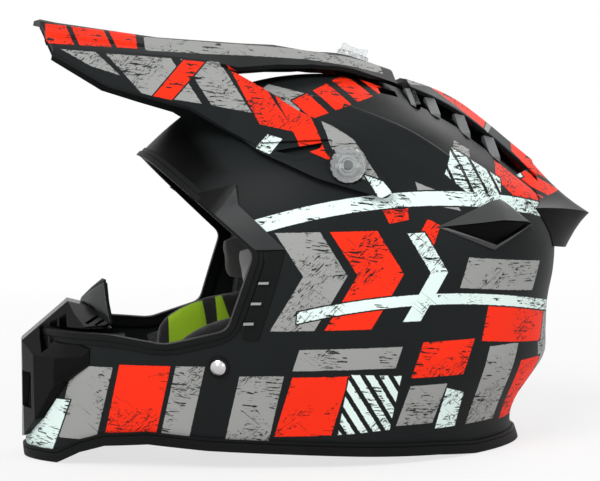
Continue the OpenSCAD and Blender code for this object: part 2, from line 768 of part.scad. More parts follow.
// The free side of the hood, from the middle plate down to its lower edge and back to the arm
module peak_side(side) {
    h = hood_half;
    u4 = side_point(-18, 219.5 + lift, arm_lift + peak_t);
    l4 = side_point(-34, 191.5 + lift, arm_lift + peak_t);
    rows = [
        [[-156, 41, 257.5], [-156, 43, 256.3], [-156, 45, 255]],
        [[-124, 41, 254.8], [-124, h - 22, 245], [-124, h - 14, 234]],
        [[-90, 41, 251.7], [-94, h - 18, 240], [-99, h - 4, 226.5]],
        [[-64, 41.5, 248.5], [-69, h - 14, 235], [-75, h, 219]],
        [[-43, 51, 239], [-48, h - 8, 223], [-54, h + 2, 205.5]],
        [for (p = [u4, side_point(-26, 206 + lift, arm_lift + peak_t), l4]) p - [0, 0, lift]]];
    mirror([0, side < 0 ? 1 : 0, 0])
        plate([for (r = rows) [for (p = r) hood_point(p)]], peak_t);
}

module peak() {
    color(charcoal) skin() difference() {
        union() {
            peak_plate();
            for (side = [-1, 1]) {
                peak_side(side);
                one_side(side) intersection() {
                    layer(arm_lift, arm_lift + peak_t);
                    across() difference() {
                        polygon(arm_outline);
                        polygon(arm_slot);
                    }
                }
                difference() {
                    on_screw(side, head_y - 30) cylinder(r = head_r + 1.5, h = 30, $fn = 36);
                    form(arm_lift);
                }
            }
        }
        for (side = [-1, 1]) {
            on_screw(side, 60) cylinder(r = shaft_r + running + bush_t + 0.1, h = 80, $fn = 32);
            on_screw(side, head_y) cylinder(r = head_r + 1, h = 20, $fn = 36);
        }
        // Room to swing over the shell
        for (a = [swing_down + 0.5, -swing_up - 0.5])
            translate([screw_x, 0, screw_z]) rotate([0, a, 0]) translate([-screw_x, 0, -screw_z]) form(gap + 0.3);
        // Slot along which the plate slides under the top screw
        for (a = [-swing_up - 0.5:1:swing_down + 0.5])
            translate([screw_x, 0, screw_z]) rotate([0, top_lean + a, 0]) cylinder(r = shaft_r + 0.6, h = 100, $fn = 16);
        // Round seat for the top screw's head
        intersection() {
            translate([screw_x, 0, screw_z]) rotate([0, top_lean + (swing_down - swing_up) / 2, 0])
                translate([-18, -head_r - 1, 0]) cube([36, 2 * head_r + 2, 120]);
            difference() {
                translate([screw_x, 0, screw_z]) rotate([90, 0, 0]) cylinder(r = 120, h = 60, center = true, $fn = 60);
                translate([screw_x, 0, screw_z]) rotate([90, 0, 0]) cylinder(r = seat_r, h = 80, center = true, $fn = 120);
            }
        }
    }
}

// ---- Screws, bushes, inserts and rivets ----

module bush(side) {
    low = side_y(screw_x, screw_z - shaft_r - running - bush_t) + 0.8;
    color(steel) on_screw(side, low) rotate_extrude($fn = 48)
        translate([shaft_r + running, 0]) square([bush_t, head_y - low]);
}

module insert(length = insert_l) {
    color(brass) rotate_extrude($fn = 48)
        translate([shaft_r + running, 0]) square([insert_r - shaft_r - running, length]);
}

// A round head with a thumb wing, and its shaft below
module thumb_screw(length) {
    color(clear) {
        rotate_extrude($fn = 48)
            polygon([[0, -length], [shaft_r, -length], [shaft_r, 0], [head_r, 0], [head_r, head_h - 1], [head_r - 1, head_h], [0, head_h]]);
        translate([-head_r + 2, -1.5, head_h - 0.5]) cube([2 * head_r - 4, 3, wing_h + 0.5]);
    }
}

insert_y = side_y(screw_x, screw_z - shaft_r - running - bush_t) + 0.5;   // outer end of a side insert
insert_top_r = post_r - 0.2;

module insert_side(side) {
    on_screw(side, insert_y - insert_l) insert();
}

module screw_side(side) {
    on_screw(side, head_y + gap) thumb_screw(head_y + gap - insert_y + insert_l - 1.5);
}

module screw_top() {
    on_top(seat_r + gap) thumb_screw(seat_r + gap - insert_top_r + insert_l - 1.5);
}

module rivet(side) {
    color(steel) on_side(rivet_x, rivet_z, 1.2, side) rotate_extrude($fn = 36)
        polygon([[0, -strap_off - webbing_t - gap - 3.4], [2.3, -strap_off - webbing_t - gap - 3.4], [2.3, 0], [rivet_r, 0], [rivet_r - 0.4, 1], [rivet_r - 1.6, 2], [2, 2.7], [0, 2.9]]);
}

module rivet_seal(side) {
    color(black) on_side(rivet_x, rivet_z, 0.4, side) rotate_extrude($fn = 36)
        translate([2.6, 0]) square([rivet_r + 1.4 - 2.6, 0.7]);
}

module strap_plate(side) {
    color(steel) on_side(rivet_x, rivet_z, -strap_off - webbing_t - gap - 1.9, side) difference() {
        cylinder(r = 8, h = 1.4, $fn = 36);
        translate([0, 0, -1]) cylinder(r = 2.4, h = 4, $fn = 24);
    }
}

// ---- Chin strap ----

strap_off = shell_t + gap + 0.8;      // outer face of the webbing inside the shell

// The webbing, from the rivet down along the shell and in under the cheek pad to y = tip
module strap_body(tip, side) {
    edges = [rivet_x + webbing_w / 2, rivet_x - webbing_w / 2];
    y0 = side_point(edges[1], 36, -strap_off)[1];
    low = [[y0 - 6, 24], [y0 - 13, 17], [y0 - 24, 12], [54, 9.5], [tip, bar_z + webbing_t / 2]];
    mirror([0, side < 0 ? 1 : 0, 0]) difference() {
        plate([for (q = concat([for (z = [rivet_z + 9, rivet_z, rivet_z - 14, 36]) [0, z]], low))
            [for (x = edges) q[0] == 0 ? side_point(x, q[1], -strap_off) : [x, q[0], q[1]]]], webbing_t);
        on_side(rivet_x, rivet_z, -20, 1) cylinder(r = 2.5, h = 30, $fn = 24);
    }
}

module strap_left() {
    color(cloth_black) skin() strap_body(6, -1);
}

bar_z = 6;
bar_y = 30;
bar_gap = 2 * ring_r + 0.9;
loop_w = 15.6;

module strap_right() {
    color(cloth_black) skin() union() {
        strap_body(bar_y + bar_gap + ring_r + 2, 1);
        translate([rivet_x - loop_w / 2, 0, bar_z]) rotate([90, 0, 90]) linear_extrude(loop_w) difference() {
            translate([bar_y - ring_r - 0.2 - webbing_t / 2, -ring_r - 0.2 - webbing_t / 2])
                square([bar_gap + 2 * ring_r + 0.4 + webbing_t + 2, 2 * ring_r + 0.4 + webbing_t]);
            translate([bar_y - ring_r - 0.2, -ring_r - 0.2]) square([bar_gap + 2 * ring_r + 0.4, 2 * ring_r + 0.4]);
        }
    }
}

// A D-ring lying flat, its bar along X at y and its bow towards the middle
module d_ring(y, half, leg) {
    color(steel) translate([rivet_x, y, bar_z]) {
        translate([-half, 0, 0]) rotate([0, 90, 0]) cylinder(r = ring_r, h = 2 * half, $fn = 24);
        for (s = [-1, 1]) {
            translate([s * half, 0, 0]) sphere(r = ring_r, $fn = 24);
            translate([s * half, 0, 0]) rotate([90, 0, 0]) cylinder(r = ring_r, h = leg, $fn = 24);
        }
        translate([0, -leg, 0]) rotate([0, 0, 180]) rotate_extrude(angle = 180, $fn = 48)
            translate([half, 0]) circle(r = ring_r, $fn = 24);
    }
}

placed() shell();
placed() eps_liner();
placed() chin_eps();
placed() cheek_eps(-1);  // cheek_eps_left
placed() cheek_eps(1);  // cheek_eps_right
placed() crown_liner();
placed() cheek_pad(-1);  // cheek_pad_left
placed() cheek_pad(1);  // cheek_pad_right
placed() neck_roll();
placed() port_edging();
placed() base_band();
placed() port_trim(-1);  // port_trim_left
placed() port_trim(1);  // port_trim_right
placed() brow_trim(-1);  // brow_trim_left
placed() brow_trim(1);  // brow_trim_right
placed() mouth_guard();
placed() mouth_mesh();
placed() nose_guard();
placed() crown_spine();
placed() vent_mesh(-1);  // vent_mesh_left
placed() vent_mesh(1);  // vent_mesh_right
placed() tail();
placed() rear_vent(-1);  // rear_vent_left
placed() rear_vent(1);  // rear_vent_right
placed() peak();
placed() bush(-1);  // bush_left
placed() bush(1);  // bush_right
placed() insert_side(-1);  // insert_left
placed() insert_side(1);  // insert_right
placed() on_top(insert_top_r - insert_l) insert();  // insert_top
placed() screw_side(-1);  // screw_left
placed() screw_side(1);  // screw_right
placed() screw_top();
placed() strap_left();
placed() strap_right();
placed() strap_plate(-1);  // strap_plate_left
placed() strap_plate(1);  // strap_plate_right
placed() rivet(-1);  // rivet_left
placed() rivet(1);  // rivet_right
placed() rivet_seal(-1);  // rivet_seal_left
placed() rivet_seal(1);  // rivet_seal_right
placed() d_ring(bar_y + bar_gap, 14, 10);  // ring_outer
placed() d_ring(bar_y, 10, 5);  // ring_inner
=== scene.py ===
import json
import math
from collections import Counter
from functools import lru_cache, reduce

import bmesh
import bpy
import numpy as np
from mathutils import Matrix, Vector, noise

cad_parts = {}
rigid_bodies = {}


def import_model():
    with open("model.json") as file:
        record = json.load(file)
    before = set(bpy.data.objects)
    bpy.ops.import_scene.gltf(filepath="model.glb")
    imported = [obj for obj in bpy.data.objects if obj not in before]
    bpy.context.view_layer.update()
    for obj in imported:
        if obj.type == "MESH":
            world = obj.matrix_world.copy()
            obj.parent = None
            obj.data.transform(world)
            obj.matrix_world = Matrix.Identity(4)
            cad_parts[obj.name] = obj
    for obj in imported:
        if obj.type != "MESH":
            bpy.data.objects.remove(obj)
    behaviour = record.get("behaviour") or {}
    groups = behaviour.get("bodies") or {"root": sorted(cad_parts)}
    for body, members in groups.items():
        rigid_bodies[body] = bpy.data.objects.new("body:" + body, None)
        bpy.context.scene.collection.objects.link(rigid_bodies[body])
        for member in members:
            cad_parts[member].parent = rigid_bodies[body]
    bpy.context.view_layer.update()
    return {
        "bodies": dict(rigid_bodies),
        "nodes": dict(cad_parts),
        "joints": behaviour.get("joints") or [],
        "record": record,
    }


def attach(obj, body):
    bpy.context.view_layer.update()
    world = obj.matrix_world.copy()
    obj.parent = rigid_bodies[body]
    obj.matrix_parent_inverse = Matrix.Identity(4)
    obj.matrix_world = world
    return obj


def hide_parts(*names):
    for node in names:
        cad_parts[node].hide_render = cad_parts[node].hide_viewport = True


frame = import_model()
NODES = frame["nodes"]

# ---------------------------------------------------------------- sizes, as in the CAD, in mm
SHIFT = 6.25                      # the CAD's own x is this much larger than the row frame's
T, GAP, EDGING = 4.0, 0.3, 1.5    # shell, play between pieces, rubber inside the shell's edge
LOW, TOP = -8.0, 240.0
OUTLINE = [(-8, -177, 143, 92), (4, -179, 140, 93), (14, -179, 137, 95), (28, -178, 141, 98.5),
           (40, -176.5, 149, 102), (56, -174, 159, 107), (72, -170, 160, 111), (92, -164, 161, 115),
           (112, -155, 165, 117.5), (130, -145, 166, 118), (145, -136, 163, 116.5), (160, -126, 157, 113),
           (176, -114, 140, 107), (190, -102, 123, 98.5), (205, -86, 105, 86), (218, -69, 87, 68),
           (226, -55, 73, 55), (232, -40, 60, 42), (236, -26, 47, 30), (238.5, -12, 34, 18), (240, 12, 12, 0)]
PORT = [(-260, 82), (-126, 82), (-94, 77), (-58, 86), (-42, 132), (-102, 190), (-260, 190)]
BASE = [(-260, 0), (-160, 0), (-146, 8), (-131, 13), (-105, 15), (-70, 11.5), (-24, 9), (73, 3), (100, 0), (260, 0)]
SCREW = (14.0, 183.0)                 # x and z of the line through the side screws
SIDES = ((-1, "left"), (1, "right"))


def signed(v, k):
    """A power that keeps the sign."""
    return math.copysign(abs(v) ** k, v)


def level(z):
    return 1 - math.sqrt(max(0, (TOP - z) / (TOP - LOW)))


ROWS = [(level(r[0]), *r[1:]) for r in OUTLINE]


def curve(t, x, c):
    """Column c of a table at x, on a smooth line through its rows."""
    i = 0
    while i < len(t) - 2 and x >= t[i + 1][0]:
        i += 1
    w = t[i + 1][0] - t[i][0]
    u = min(1, max(0, (x - t[i][0]) / w))

    def slope(k):
        a, b = max(0, k - 1), min(len(t) - 1, k + 1)
        return (t[b][c] - t[a][c]) / (t[b][0] - t[a][0])
    a, b, p, q = t[i][c], t[i + 1][c], slope(i) * w, slope(i + 1) * w
    return a + u * p + u * u * (3 * (b - a) - 2 * p - q) + u ** 3 * (2 * (a - b) + p + q)


@lru_cache(None)
def half_w(z):
    return curve(ROWS, level(z), 3)


@lru_cache(None)
def front_x(z):
    return curve(ROWS, level(z), 1)


@lru_cache(None)
def back_x(z):
    return curve(ROWS, level(z), 2)


def front_n(z):
    return 1.82 + 0.25 * max(0, min(1, (z - 90) / 90))


def back_n(z):
    return 1.75 + 0.35 * max(0, min(1, z / 60))


def middle_x(z):
    return max(front_x(z) + 2, min(back_x(z) - 2, 20 - 8 * max(0, (z - TOP + 40) / 40)))


def side_y(x, z):
    """Half the shell's width at (x, z)."""
    m = middle_x(z)
    reach, n = (m - front_x(z), front_n(z)) if x < m else (back_x(z) - m, back_n(z))
    u = min(1, abs(x - m) / reach)
    return half_w(z) * (1 - u ** n) ** (1 / n)


def side_normal(x, z):
    gx = side_y(x + 0.5, z) - side_y(x - 0.5, z)
    gz = side_y(x, z + 0.5) - side_y(x, z - 0.5)
    return Vector((-gx, 1, -gz)).normalized()


def side_point(x, z, off, side=1):
    n = side_normal(x, z)
    return Vector((x + off * n.x, side * (side_y(x, z) + off * n.y), z + off * n.z))


def nose_x(y, z):
    """Where the shell's front lies at (y, z)."""
    m, n = middle_x(z), front_n(z)
    return m - (m - front_x(z)) * (1 - (abs(y) / half_w(z)) ** n) ** (1 / n)


def dome_z(x, y):
    """Height of the shell's top over (x, y)."""
    low, high = 110.0, TOP
    for _ in range(16):
        z = (low + high) / 2
        if front_x(z) < x < back_x(z) and side_y(x, z) > abs(y):
            low = z
        else:
            high = z
    return low


# ---------------------------------------------------------------- meshes
def to_m(p):
    """A point of the CAD, in mm, as a place in the scene, in m."""
    return Vector(((p[0] - SHIFT) / 1000, p[1] / 1000, p[2] / 1000))


def linked(name, data):
    o = bpy.data.objects.new(name, data)
    bpy.context.scene.collection.objects.link(o)
    return o


def put(name, verts, faces):
    """A mesh object from points in the CAD's own mm."""
    me = bpy.data.meshes.new(name)
    me.from_pydata([to_m(v) for v in verts], [], faces)
    return linked(name, me)


def outward(o):
    bm = bmesh.new()
    bm.from_mesh(o.data)
    bmesh.ops.remove_doubles(bm, verts=bm.verts, dist=1e-6)
    bmesh.ops.recalc_face_normals(bm, faces=bm.faces)
    bm.to_mesh(o.data)
    bm.free()
    return o


def baked(o):
    dg = bpy.context.evaluated_depsgraph_get()
    me = bpy.data.meshes.new_from_object(o.evaluated_get(dg))
    o.modifiers.clear()
    o.data = me
    return o


def cut(a, b, op="DIFFERENCE"):
    """Cuts b out of a, or joins or meets them, and removes b."""
    m = a.modifiers.new("cut", "BOOLEAN")
    m.operation, m.object, m.solver = op, b, "MANIFOLD"
    baked(a)
    bpy.data.objects.remove(b)
    return a


def stack(rings):
    """A solid through rings of points, with a cap at each end."""
    n, m = len(rings[0]), len(rings)
    faces = [tuple(range(n)), tuple((m - 1) * n + i for i in reversed(range(n)))]
    faces += [(j * n + i, j * n + (i + 1) % n, (j + 1) * n + (i + 1) % n, (j + 1) * n + i)
              for j in range(m - 1) for i in range(n)]
    return outward(put("stack", [p for r in rings for p in r], faces))


def form(off):
    """The shell's outer form, moved out by off."""
    rings = []
    for j in range(FORM_ROWS + 1):
        z = TOP - (TOP - LOW) * (1 - 0.997 * j / FORM_ROWS) ** 2
        dw = -12 if z > TOP - 1.2 else (half_w(z + 1) - half_w(z - 1)) / 2
        n, m = math.hypot(1, dw), middle_x(z)
        g = off / n
        a, b, w = m - front_x(z) + g, back_x(z) - m + g, half_w(z) + g
        ring = []
        for i in range(FORM_ROUND):
            t = 2 * math.pi * i / FORM_ROUND
            c, s = math.cos(t), math.sin(t)
            k = 2 / (front_n(z) if c < 0 else back_n(z))
            ring.append((m + (-a if c < 0 else b) * abs(c) ** k, w * signed(s, k), z - off * dw / n))
        rings.append(ring)
    return stack(rings)


FORMS = {}
FORM_ROWS, FORM_ROUND = 96, 224       # rings of the form, and points in a ring


def form_copy(off):
    """The outer form moved by off, made once and copied."""
    if off not in FORMS:
        FORMS[off] = form(off)
        FORMS[off].hide_render = True
    o = linked("form", FORMS[off].data.copy())
    return o


def layer(inner, outer):
    """What lies between two offsets of the form."""
    return cut(form_copy(outer), form_copy(inner))


def rounded(pts, r, steps=5):
    """An outline with its corners rounded."""
    out = []
    for i, p in enumerate(pts):
        a, c = Vector(pts[i - 1]), Vector(pts[(i + 1) % len(pts)])
        p = Vector(p)
        u, v = (a - p), (c - p)
        k = min(r, u.length * 0.45, v.length * 0.45)
        p0, p1 = p + u.normalized() * k, p + v.normalized() * k
        for j in range(steps + 1):
            t = j / steps
            out.append(tuple(p0 * (1 - t) ** 2 + p * 2 * t * (1 - t) + p1 * t * t))
    return out


def grown(pts, d):
    """An outline moved out by d, with mitred corners."""
    n = len(pts)
    area = sum(pts[i - 1][0] * pts[i][1] - pts[i][0] * pts[i - 1][1] for i in range(n))
    s = 1 if area > 0 else -1
    out = []
    for i in range(n):
        a, p, b = Vector(pts[i - 1]), Vector(pts[i]), Vector(pts[(i + 1) % n])
        e, f = (p - a).normalized(), (b - p).normalized()
        n1, n2 = Vector((e.y, -e.x)) * s, Vector((f.y, -f.x)) * s
        m = (n1 + n2)
        out.append(tuple(p + m * (d / max(0.25, m.dot(n1)))))
    return out


def prism(pts, y0=-220, y1=220):
    """A solid with the outline pts, seen from the side."""
    return stack([[(p[0], y, p[1]) for p in pts] for y in (y0, y1)])


def block(lo, hi, m=Matrix()):
    (x0, y0, z0), (x1, y1, z1) = lo, hi
    return stack([[m @ Vector(p) for p in ((x, y0, z0), (x, y1, z0), (x, y1, z1), (x, y0, z1))] for x in (x0, x1)])


def around(m, r, h, n):
    """A ring of n points about a frame's axis, at height h."""
    return [m @ Vector((r * math.cos(2 * math.pi * i / n), r * math.sin(2 * math.pi * i / n), h)) for i in range(n)]


def turned(profile, m, n=64):
    """A lathed solid: profile of (r, h) from one end of the axis to the other, +Z along the axis."""
    verts, faces, rows = [], [], []
    for r, h in profile:
        ring = around(m, r, h, n) if r > 1e-6 else [m @ Vector((0, 0, h))]
        rows.append([len(verts) + i for i in range(len(ring))])
        verts += ring
    for a, b in zip(rows, rows[1:]):
        for i in range(n):
            q = dict.fromkeys([a[i % len(a)], a[(i + 1) % len(a)], b[(i + 1) % len(b)], b[i % len(b)]])
            if len(q) > 2:
                faces.append(list(q))
    return outward(put("turned", verts, faces))


def bore(r, lo, hi, m, n):
    """A plain round bar from lo to hi along a frame's axis."""
    return turned([(0, lo), (r, lo), (r, hi), (0, hi)], m, n)


def frame_at(p, n, x=Vector((1, 0, 0))):
    """A frame at p with its +Z along n."""
    n = n.normalized()
    x = (x - n * x.dot(n)).normalized()
    return Matrix.Translation(p) @ Matrix((x, n.cross(x), n)).transposed().to_4x4()


def moved(p, *turns):
    """A frame at p, turned by (degrees, axis)."""
    m = Matrix.Translation(p)
    for deg, axis in turns:
        m = m @ Matrix.Rotation(math.radians(deg), 4, axis)
    return m


def joined(objs, name="joined"):
    bm = bmesh.new()
    for o in objs:
        bm.from_mesh(o.data)
        bpy.data.objects.remove(o)
    me = bpy.data.meshes.new(name)
    bm.to_mesh(me)
    bm.free()
    return linked(name, me)


def union(objs):
    for b in objs[1:]:
        cut(objs[0], b, "UNION")
    return objs[0]


def sheet(front, back):
    """A closed thin solid between two grids of points."""
    n, m = len(front), len(front[0])
    k = n * m
    faces = []
    for i in range(n - 1):
        for j in range(m - 1):
            a = i * m + j
            faces += [(a, a + 1, a + m + 1, a + m), (k + a, k + a + m, k + a + m + 1, k + a + 1)]
    rim = [*range(m), *(i * m + m - 1 for i in range(1, n)),
           *((n - 1) * m + j for j in range(m - 2, -1, -1)), *(i * m for i in range(n - 2, 0, -1))]
    faces += [(a, k + a, k + b, b) for a, b in zip(rim, rim[1:] + rim[:1])]
    return outward(put("sheet", [p for r in (*front, *back) for p in r], faces))


def plate(g, t):
    """A plate through a grid of points, thickened by t on the side away from its normal."""
    n, m = len(g), len(g[0])
    g = [[Vector(p) for p in r] for r in g]

    def normal(i, j):
        a = g[min(i + 1, n - 1)][j] - g[max(i - 1, 0)][j]
        b = g[i][min(j + 1, m - 1)] - g[i][max(j - 1, 0)]
        return a.cross(b).normalized()
    return sheet(g, [[g[i][j] - t * normal(i, j) for j in range(m)] for i in range(n)])


def tube(points, r, n=8, closed=False):
    """A round wire along points."""
    pts = [Vector(p) for p in points]
    verts, faces, m = [], [], len(points)
    up = Vector((0.1, 0.3, 1)).normalized()
    for i, p in enumerate(pts):
        a = pts[i - 1] if (closed or i > 0) else p
        b = pts[(i + 1) % m] if (closed or i < m - 1) else p
        d = (b - a).normalized()
        x = up.cross(d)
        x = (x if x.length > 0.05 else Vector((1, 0, 0)).cross(d)).normalized()
        y = d.cross(x)
        verts += [p + r * (x * math.cos(2 * math.pi * k / n) + y * math.sin(2 * math.pi * k / n)) for k in range(n)]
    for i in range(m if closed else m - 1):
        for k in range(n):
            a, b, c = i * n, (i + 1) % m * n, (k + 1) % n
            faces.append((a + k, a + c, b + c, b + k))
    if not closed:
        faces += [list(range(n))[::-1], [(m - 1) * n + k for k in range(n)]]
    return outward(put("tube", verts, faces))


def shaded(o, mat, angle):
    for p in o.data.polygons:
        p.use_smooth = True
    o.data.set_sharp_from_angle(angle=math.radians(angle))
    o.data.materials.clear()
    o.data.materials.append(mat)


def piece(o, name, mat, slot, *rep, angle=30, body="helmet", fill=0):
    """Names a finished piece, or some joined ones, gives it its material, hangs it on its body and hides the CAD parts
    it stands for; slot is not used.
    """
    if isinstance(o, list):
        o = joined(o)
    o.name = o.data.name = name
    shaded(o, M[mat], angle)
    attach(o, body)
    if rep:
        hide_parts(*rep)


# ---------------------------------------------------------------- materials
class Net:
    """A node tree made line by line. Places are in the CAD's mm."""

    def __init__(self, tree):
        self.t = tree

    def node(self, kind, *values, out=0, named=(), **props):
        """A new node: values feed its first inputs, named its others; gives the output out."""
        n = self.t.nodes.new("ShaderNode" + kind)
        for k, v in props.items():
            setattr(n, k, v)
        for k, v in [*enumerate(values), *dict(named).items()]:
            self.feed(n.inputs[k], v)
        return n.outputs[out]

    def feed(self, sock, v):
        if isinstance(v, bpy.types.NodeSocket):
            self.t.links.new(v, sock)
        else:
            sock.default_value = (*v, 1) if sock.type == "RGBA" and len(v) == 3 else v

    def f(self, op, a, b=0.0, c=0.0, **props):
        return self.node("Math", a, b, c, operation=op, **props)

    def v(self, op, a, b=(0, 0, 0)):
        return self.node("VectorMath", a, b, operation=op, out="Value" if op in ("DOT_PRODUCT", "LENGTH") else "Vector")

    def step(self, x, lo, hi, a=0.0, b=1.0):
        return self.node("MapRange", x, lo, hi, a, b)

    def mix(self, fac, a, b):
        return self.node("Mix", fac, data_type="RGBA", named={6: a, 7: b}, out=2)


class Plastic(Net):
    """A material on the Principled shader; its constants are given by name."""

    def __init__(self, name, **constants):
        self.mat = bpy.data.materials.new(name)
        self.mat.use_nodes = True
        super().__init__(self.mat.node_tree)
        self.b = self.t.nodes["Principled BSDF"]
        for k, v in constants.items():
            self.feed(self.b.inputs[k.replace("_", " ")], v)
        self.p = self.node("VectorMath", self.node("TexCoord", out="Object"), (1000, 1000, 1000), (SHIFT, 0, 0),
                           operation="MULTIPLY_ADD")

    def axes(self, p=None):
        return self.node("SeparateXYZ", p or self.p, out=slice(0, 3))

    def noise(self, scale, detail=2.0, rough=0.5, stretch=None, turn=(0, 0, 0)):
        q = self.p
        if stretch:
            q = self.node("Mapping", q, vector_type="TEXTURE", named={"Rotation": turn, "Scale": stretch})
        return self.node("TexNoise", out="Fac",
                         named={"Vector": q, "Scale": scale, "Detail": detail, "Roughness": rough})

    def cells(self, scale, feature="F1"):
        return self.node("TexVoronoi", out="Distance", feature=feature, named={"Vector": self.p, "Scale": scale})

    def color(self, v):
        self.feed(self.b.inputs["Base Color"], v)

    def rough(self, noise, spread, least):
        self.feed(self.b.inputs["Roughness"], self.f("MULTIPLY_ADD", noise, spread, least))

    def bump(self, height, mm, round_mm=0.0):
        """Relief of mm, over edges that look rounded by round_mm."""
        named = {"Distance": mm / 1000, "Strength": 1.0, "Height": height}
        if round_mm:
            named["Normal"] = self.node("Bevel", round_mm / 1000, samples=4)
        self.feed(self.b.inputs["Normal"], self.node("Bump", named=named))

    # shapes in the part's side view; a positive value is inside, in mm
    def flat(self, wobble=0.35):
        x, y, z = self.axes()
        w = self.f("MULTIPLY_ADD", self.noise(0.5, 3), 2 * wobble, -wobble)
        self.q = self.node("CombineXYZ", self.f("ADD", x, w), self.f("ADD", z, w), 1.0)

    def poly(self, pts):
        """A convex polygon."""
        area = sum(a[0] * b[1] - b[0] * a[1] for a, b in zip(pts[-1:] + pts, pts))
        out = []
        for a, b in zip(pts[-1:] + pts, pts):
            ex, ey = b[0] - a[0], b[1] - a[1]
            k = math.copysign(1, area) / math.hypot(ex, ey)
            nx, ny = -ey * k, ex * k
            out.append(self.v("DOT_PRODUCT", self.q, (nx, ny, -(nx * a[0] + ny * a[1]))))
        return self.all(*out)

    def polys(self, *lists):
        return self.any(*[self.poly(pts) for pts in lists])

    def ribbon(self, upper, lower):
        """A band between two lines of points, as convex pieces."""
        return self.polys(*[[a, b, d, c] for a, b, c, d in zip(upper, upper[1:], lower, lower[1:])])

    def arc(self, cx, cy, r, w):
        d = self.v("LENGTH", self.v("SUBTRACT", self.q, (cx, cy, 1)))
        return self.f("SUBTRACT", w / 2, self.f("ABSOLUTE", self.f("SUBTRACT", d, r)))

    def slats(self, ang, pitch, share, off=0.0):
        """Parallel bars: positive inside a bar."""
        c, s = math.cos(math.radians(ang)), math.sin(math.radians(ang))
        d = self.v("DOT_PRODUCT", self.q, (c / pitch, s / pitch, off))
        w = self.f("ABSOLUTE", self.f("SUBTRACT", self.f("FRACT", d), 0.5))
        return self.f("MULTIPLY", self.f("SUBTRACT", share / 2, w), pitch)

    def any(self, *d):
        return reduce(lambda a, b: self.f("MAXIMUM", a, b), d)

    def all(self, *d):
        return reduce(lambda a, b: self.f("MINIMUM", a, b), d)

    def painted_shade(self, base, polygons, soft):
        """Paints shade: the colour goes to near-black inside the polygons, where shade falls."""
        for pts in polygons:
            if not hasattr(self, "q"):
                self.flat()
            # the near-black that stands for shade
            base = self.mix(self.step(self.poly(pts), -soft, soft), base, (0.0010, 0.0011, 0.0011))
        return base

    def wear(self, turn=0.4):
        """How far the print is worn: positive where brush strokes, flecks and long scratches break it."""
        def over(v, k, least):
            return self.f("MULTIPLY_ADD", v, k, least)
        big, other = self.noise(0.05, 2), self.noise(0.032, 2, stretch=(1, 1, 1.7), turn=(0, 1, 0))
        strokes = self.noise(1.0, 5, 0.66, (9, 9, 1.1), (0, turn - 0.3, 0))
        cross = self.noise(1.0, 5, 0.62, (6, 6, 0.7), (0, turn - 1.15, 0))
        long = self.noise(1.0, 3, 0.5, (34, 34, 0.55), (0, turn + 0.3, 0))
        flecks = self.noise(0.5, 6, 0.74, (1.6, 1.6, 0.8), (0, turn - 0.5, 0))
        return self.any(self.all(over(strokes, 1, -0.565), over(big, 2, -1.07)),
                        self.all(over(cross, 1, -0.59), over(other, 2, -1.11)),
                        self.all(over(long, 1, -0.695), over(other, 1, -0.44)),
                        self.all(over(flecks, 1, -0.59), over(other, 2, -1.05)))

    def faces(self, way=None, centre=None):
        """1 where the surface looks outward: along way, or away from centre."""
        n = self.node("TexCoord", out="Normal")
        if centre:
            d = self.v("DOT_PRODUCT", n, self.v("NORMALIZE", self.v("SUBTRACT", self.p, centre)))
        else:
            _, y, z = self.axes(n)
            side = self.f("MULTIPLY", y, self.f("SIGN", self.axes()[1]))
            d = self.f("ADD", self.f("MULTIPLY", side, way[0]), self.f("MULTIPLY", z, way[1]))
        return self.step(d, 0.02, 0.10)


RED, GREY, WHITE, GREEN = (0.93, 0.032, 0.010), (0.32, 0.325, 0.315), (0.76, 0.90, 0.86), (0.36, 0.60, 0.020)
EDGE = -0.9                           # black line left between two colours, in mm


def scaled(color, k):
    return tuple(c * k for c in color)


def painted(name, shapes, round_mm=0.0, rough=0.42, way=None, centre=None, dark=()):
    """Matte black plastic with a worn print: shapes(net) gives the red, grey and white distances.
    The polygons in dark get painted shade: the black goes near-black there."""
    n = Plastic(name, Specular_IOR_Level=0.06)
    n.flat()
    red, grey, white = shapes(n)
    if white is not None:
        red = n.all(red, n.f("SUBTRACT", EDGE, white))
        grey = n.all(grey, n.f("SUBTRACT", EDGE, white)) if grey is not None else None
    if grey is not None:
        grey = n.all(grey, n.f("SUBTRACT", EDGE, red))
    worn, out, tone = n.wear(), n.faces(way, centre), n.noise(0.03, 3)
    # painted shade: the base black turns near-black inside the dark polygons
    base = n.painted_shade(n.mix(tone, (0.0100, 0.0118, 0.0122), (0.0135, 0.0156, 0.0160)), dark, 5.5)
    marks = []
    for d, c, lo in ((grey, GREY, 0.0), (red, RED, -0.004), (white, WHITE, -0.014)):
        if d is not None:
            keep = n.f("MULTIPLY", n.step(worn, lo - 0.004, lo + 0.004, 1.0, 0.0), out)
            marks.append(n.f("MULTIPLY", n.step(d, -0.12, 0.12), keep))
            base = n.mix(marks[-1], base, n.mix(tone, scaled(c, 0.93), scaled(c, 1.05)))
    marks = n.any(*marks)
    n.color(base)
    grain = n.noise(2.2, 3)
    n.rough(marks, 0.06, n.f("MULTIPLY_ADD", grain, 0.10, rough - 0.05))
    n.bump(n.f("MULTIPLY_ADD", grain, 0.25, n.f("MULTIPLY", marks, 0.5)), 0.06, round_mm)
    return n.mat


def plastic(name, color, rough=0.36, grain=0.05, scale=1.6, round_mm=0.5, spec=0.32, dark=()):
    n = Plastic(name, Specular_IOR_Level=spec)
    g = n.noise(scale, 4)
    # painted shade: the colour turns near-black inside the dark polygons
    n.color(n.painted_shade(n.mix(n.noise(0.06, 2), scaled(color, 0.8), scaled(color, 1.2)), dark, 0.5))
    n.rough(g, 0.14, rough - 0.07)
    n.bump(g, grain, round_mm)
    return n.mat


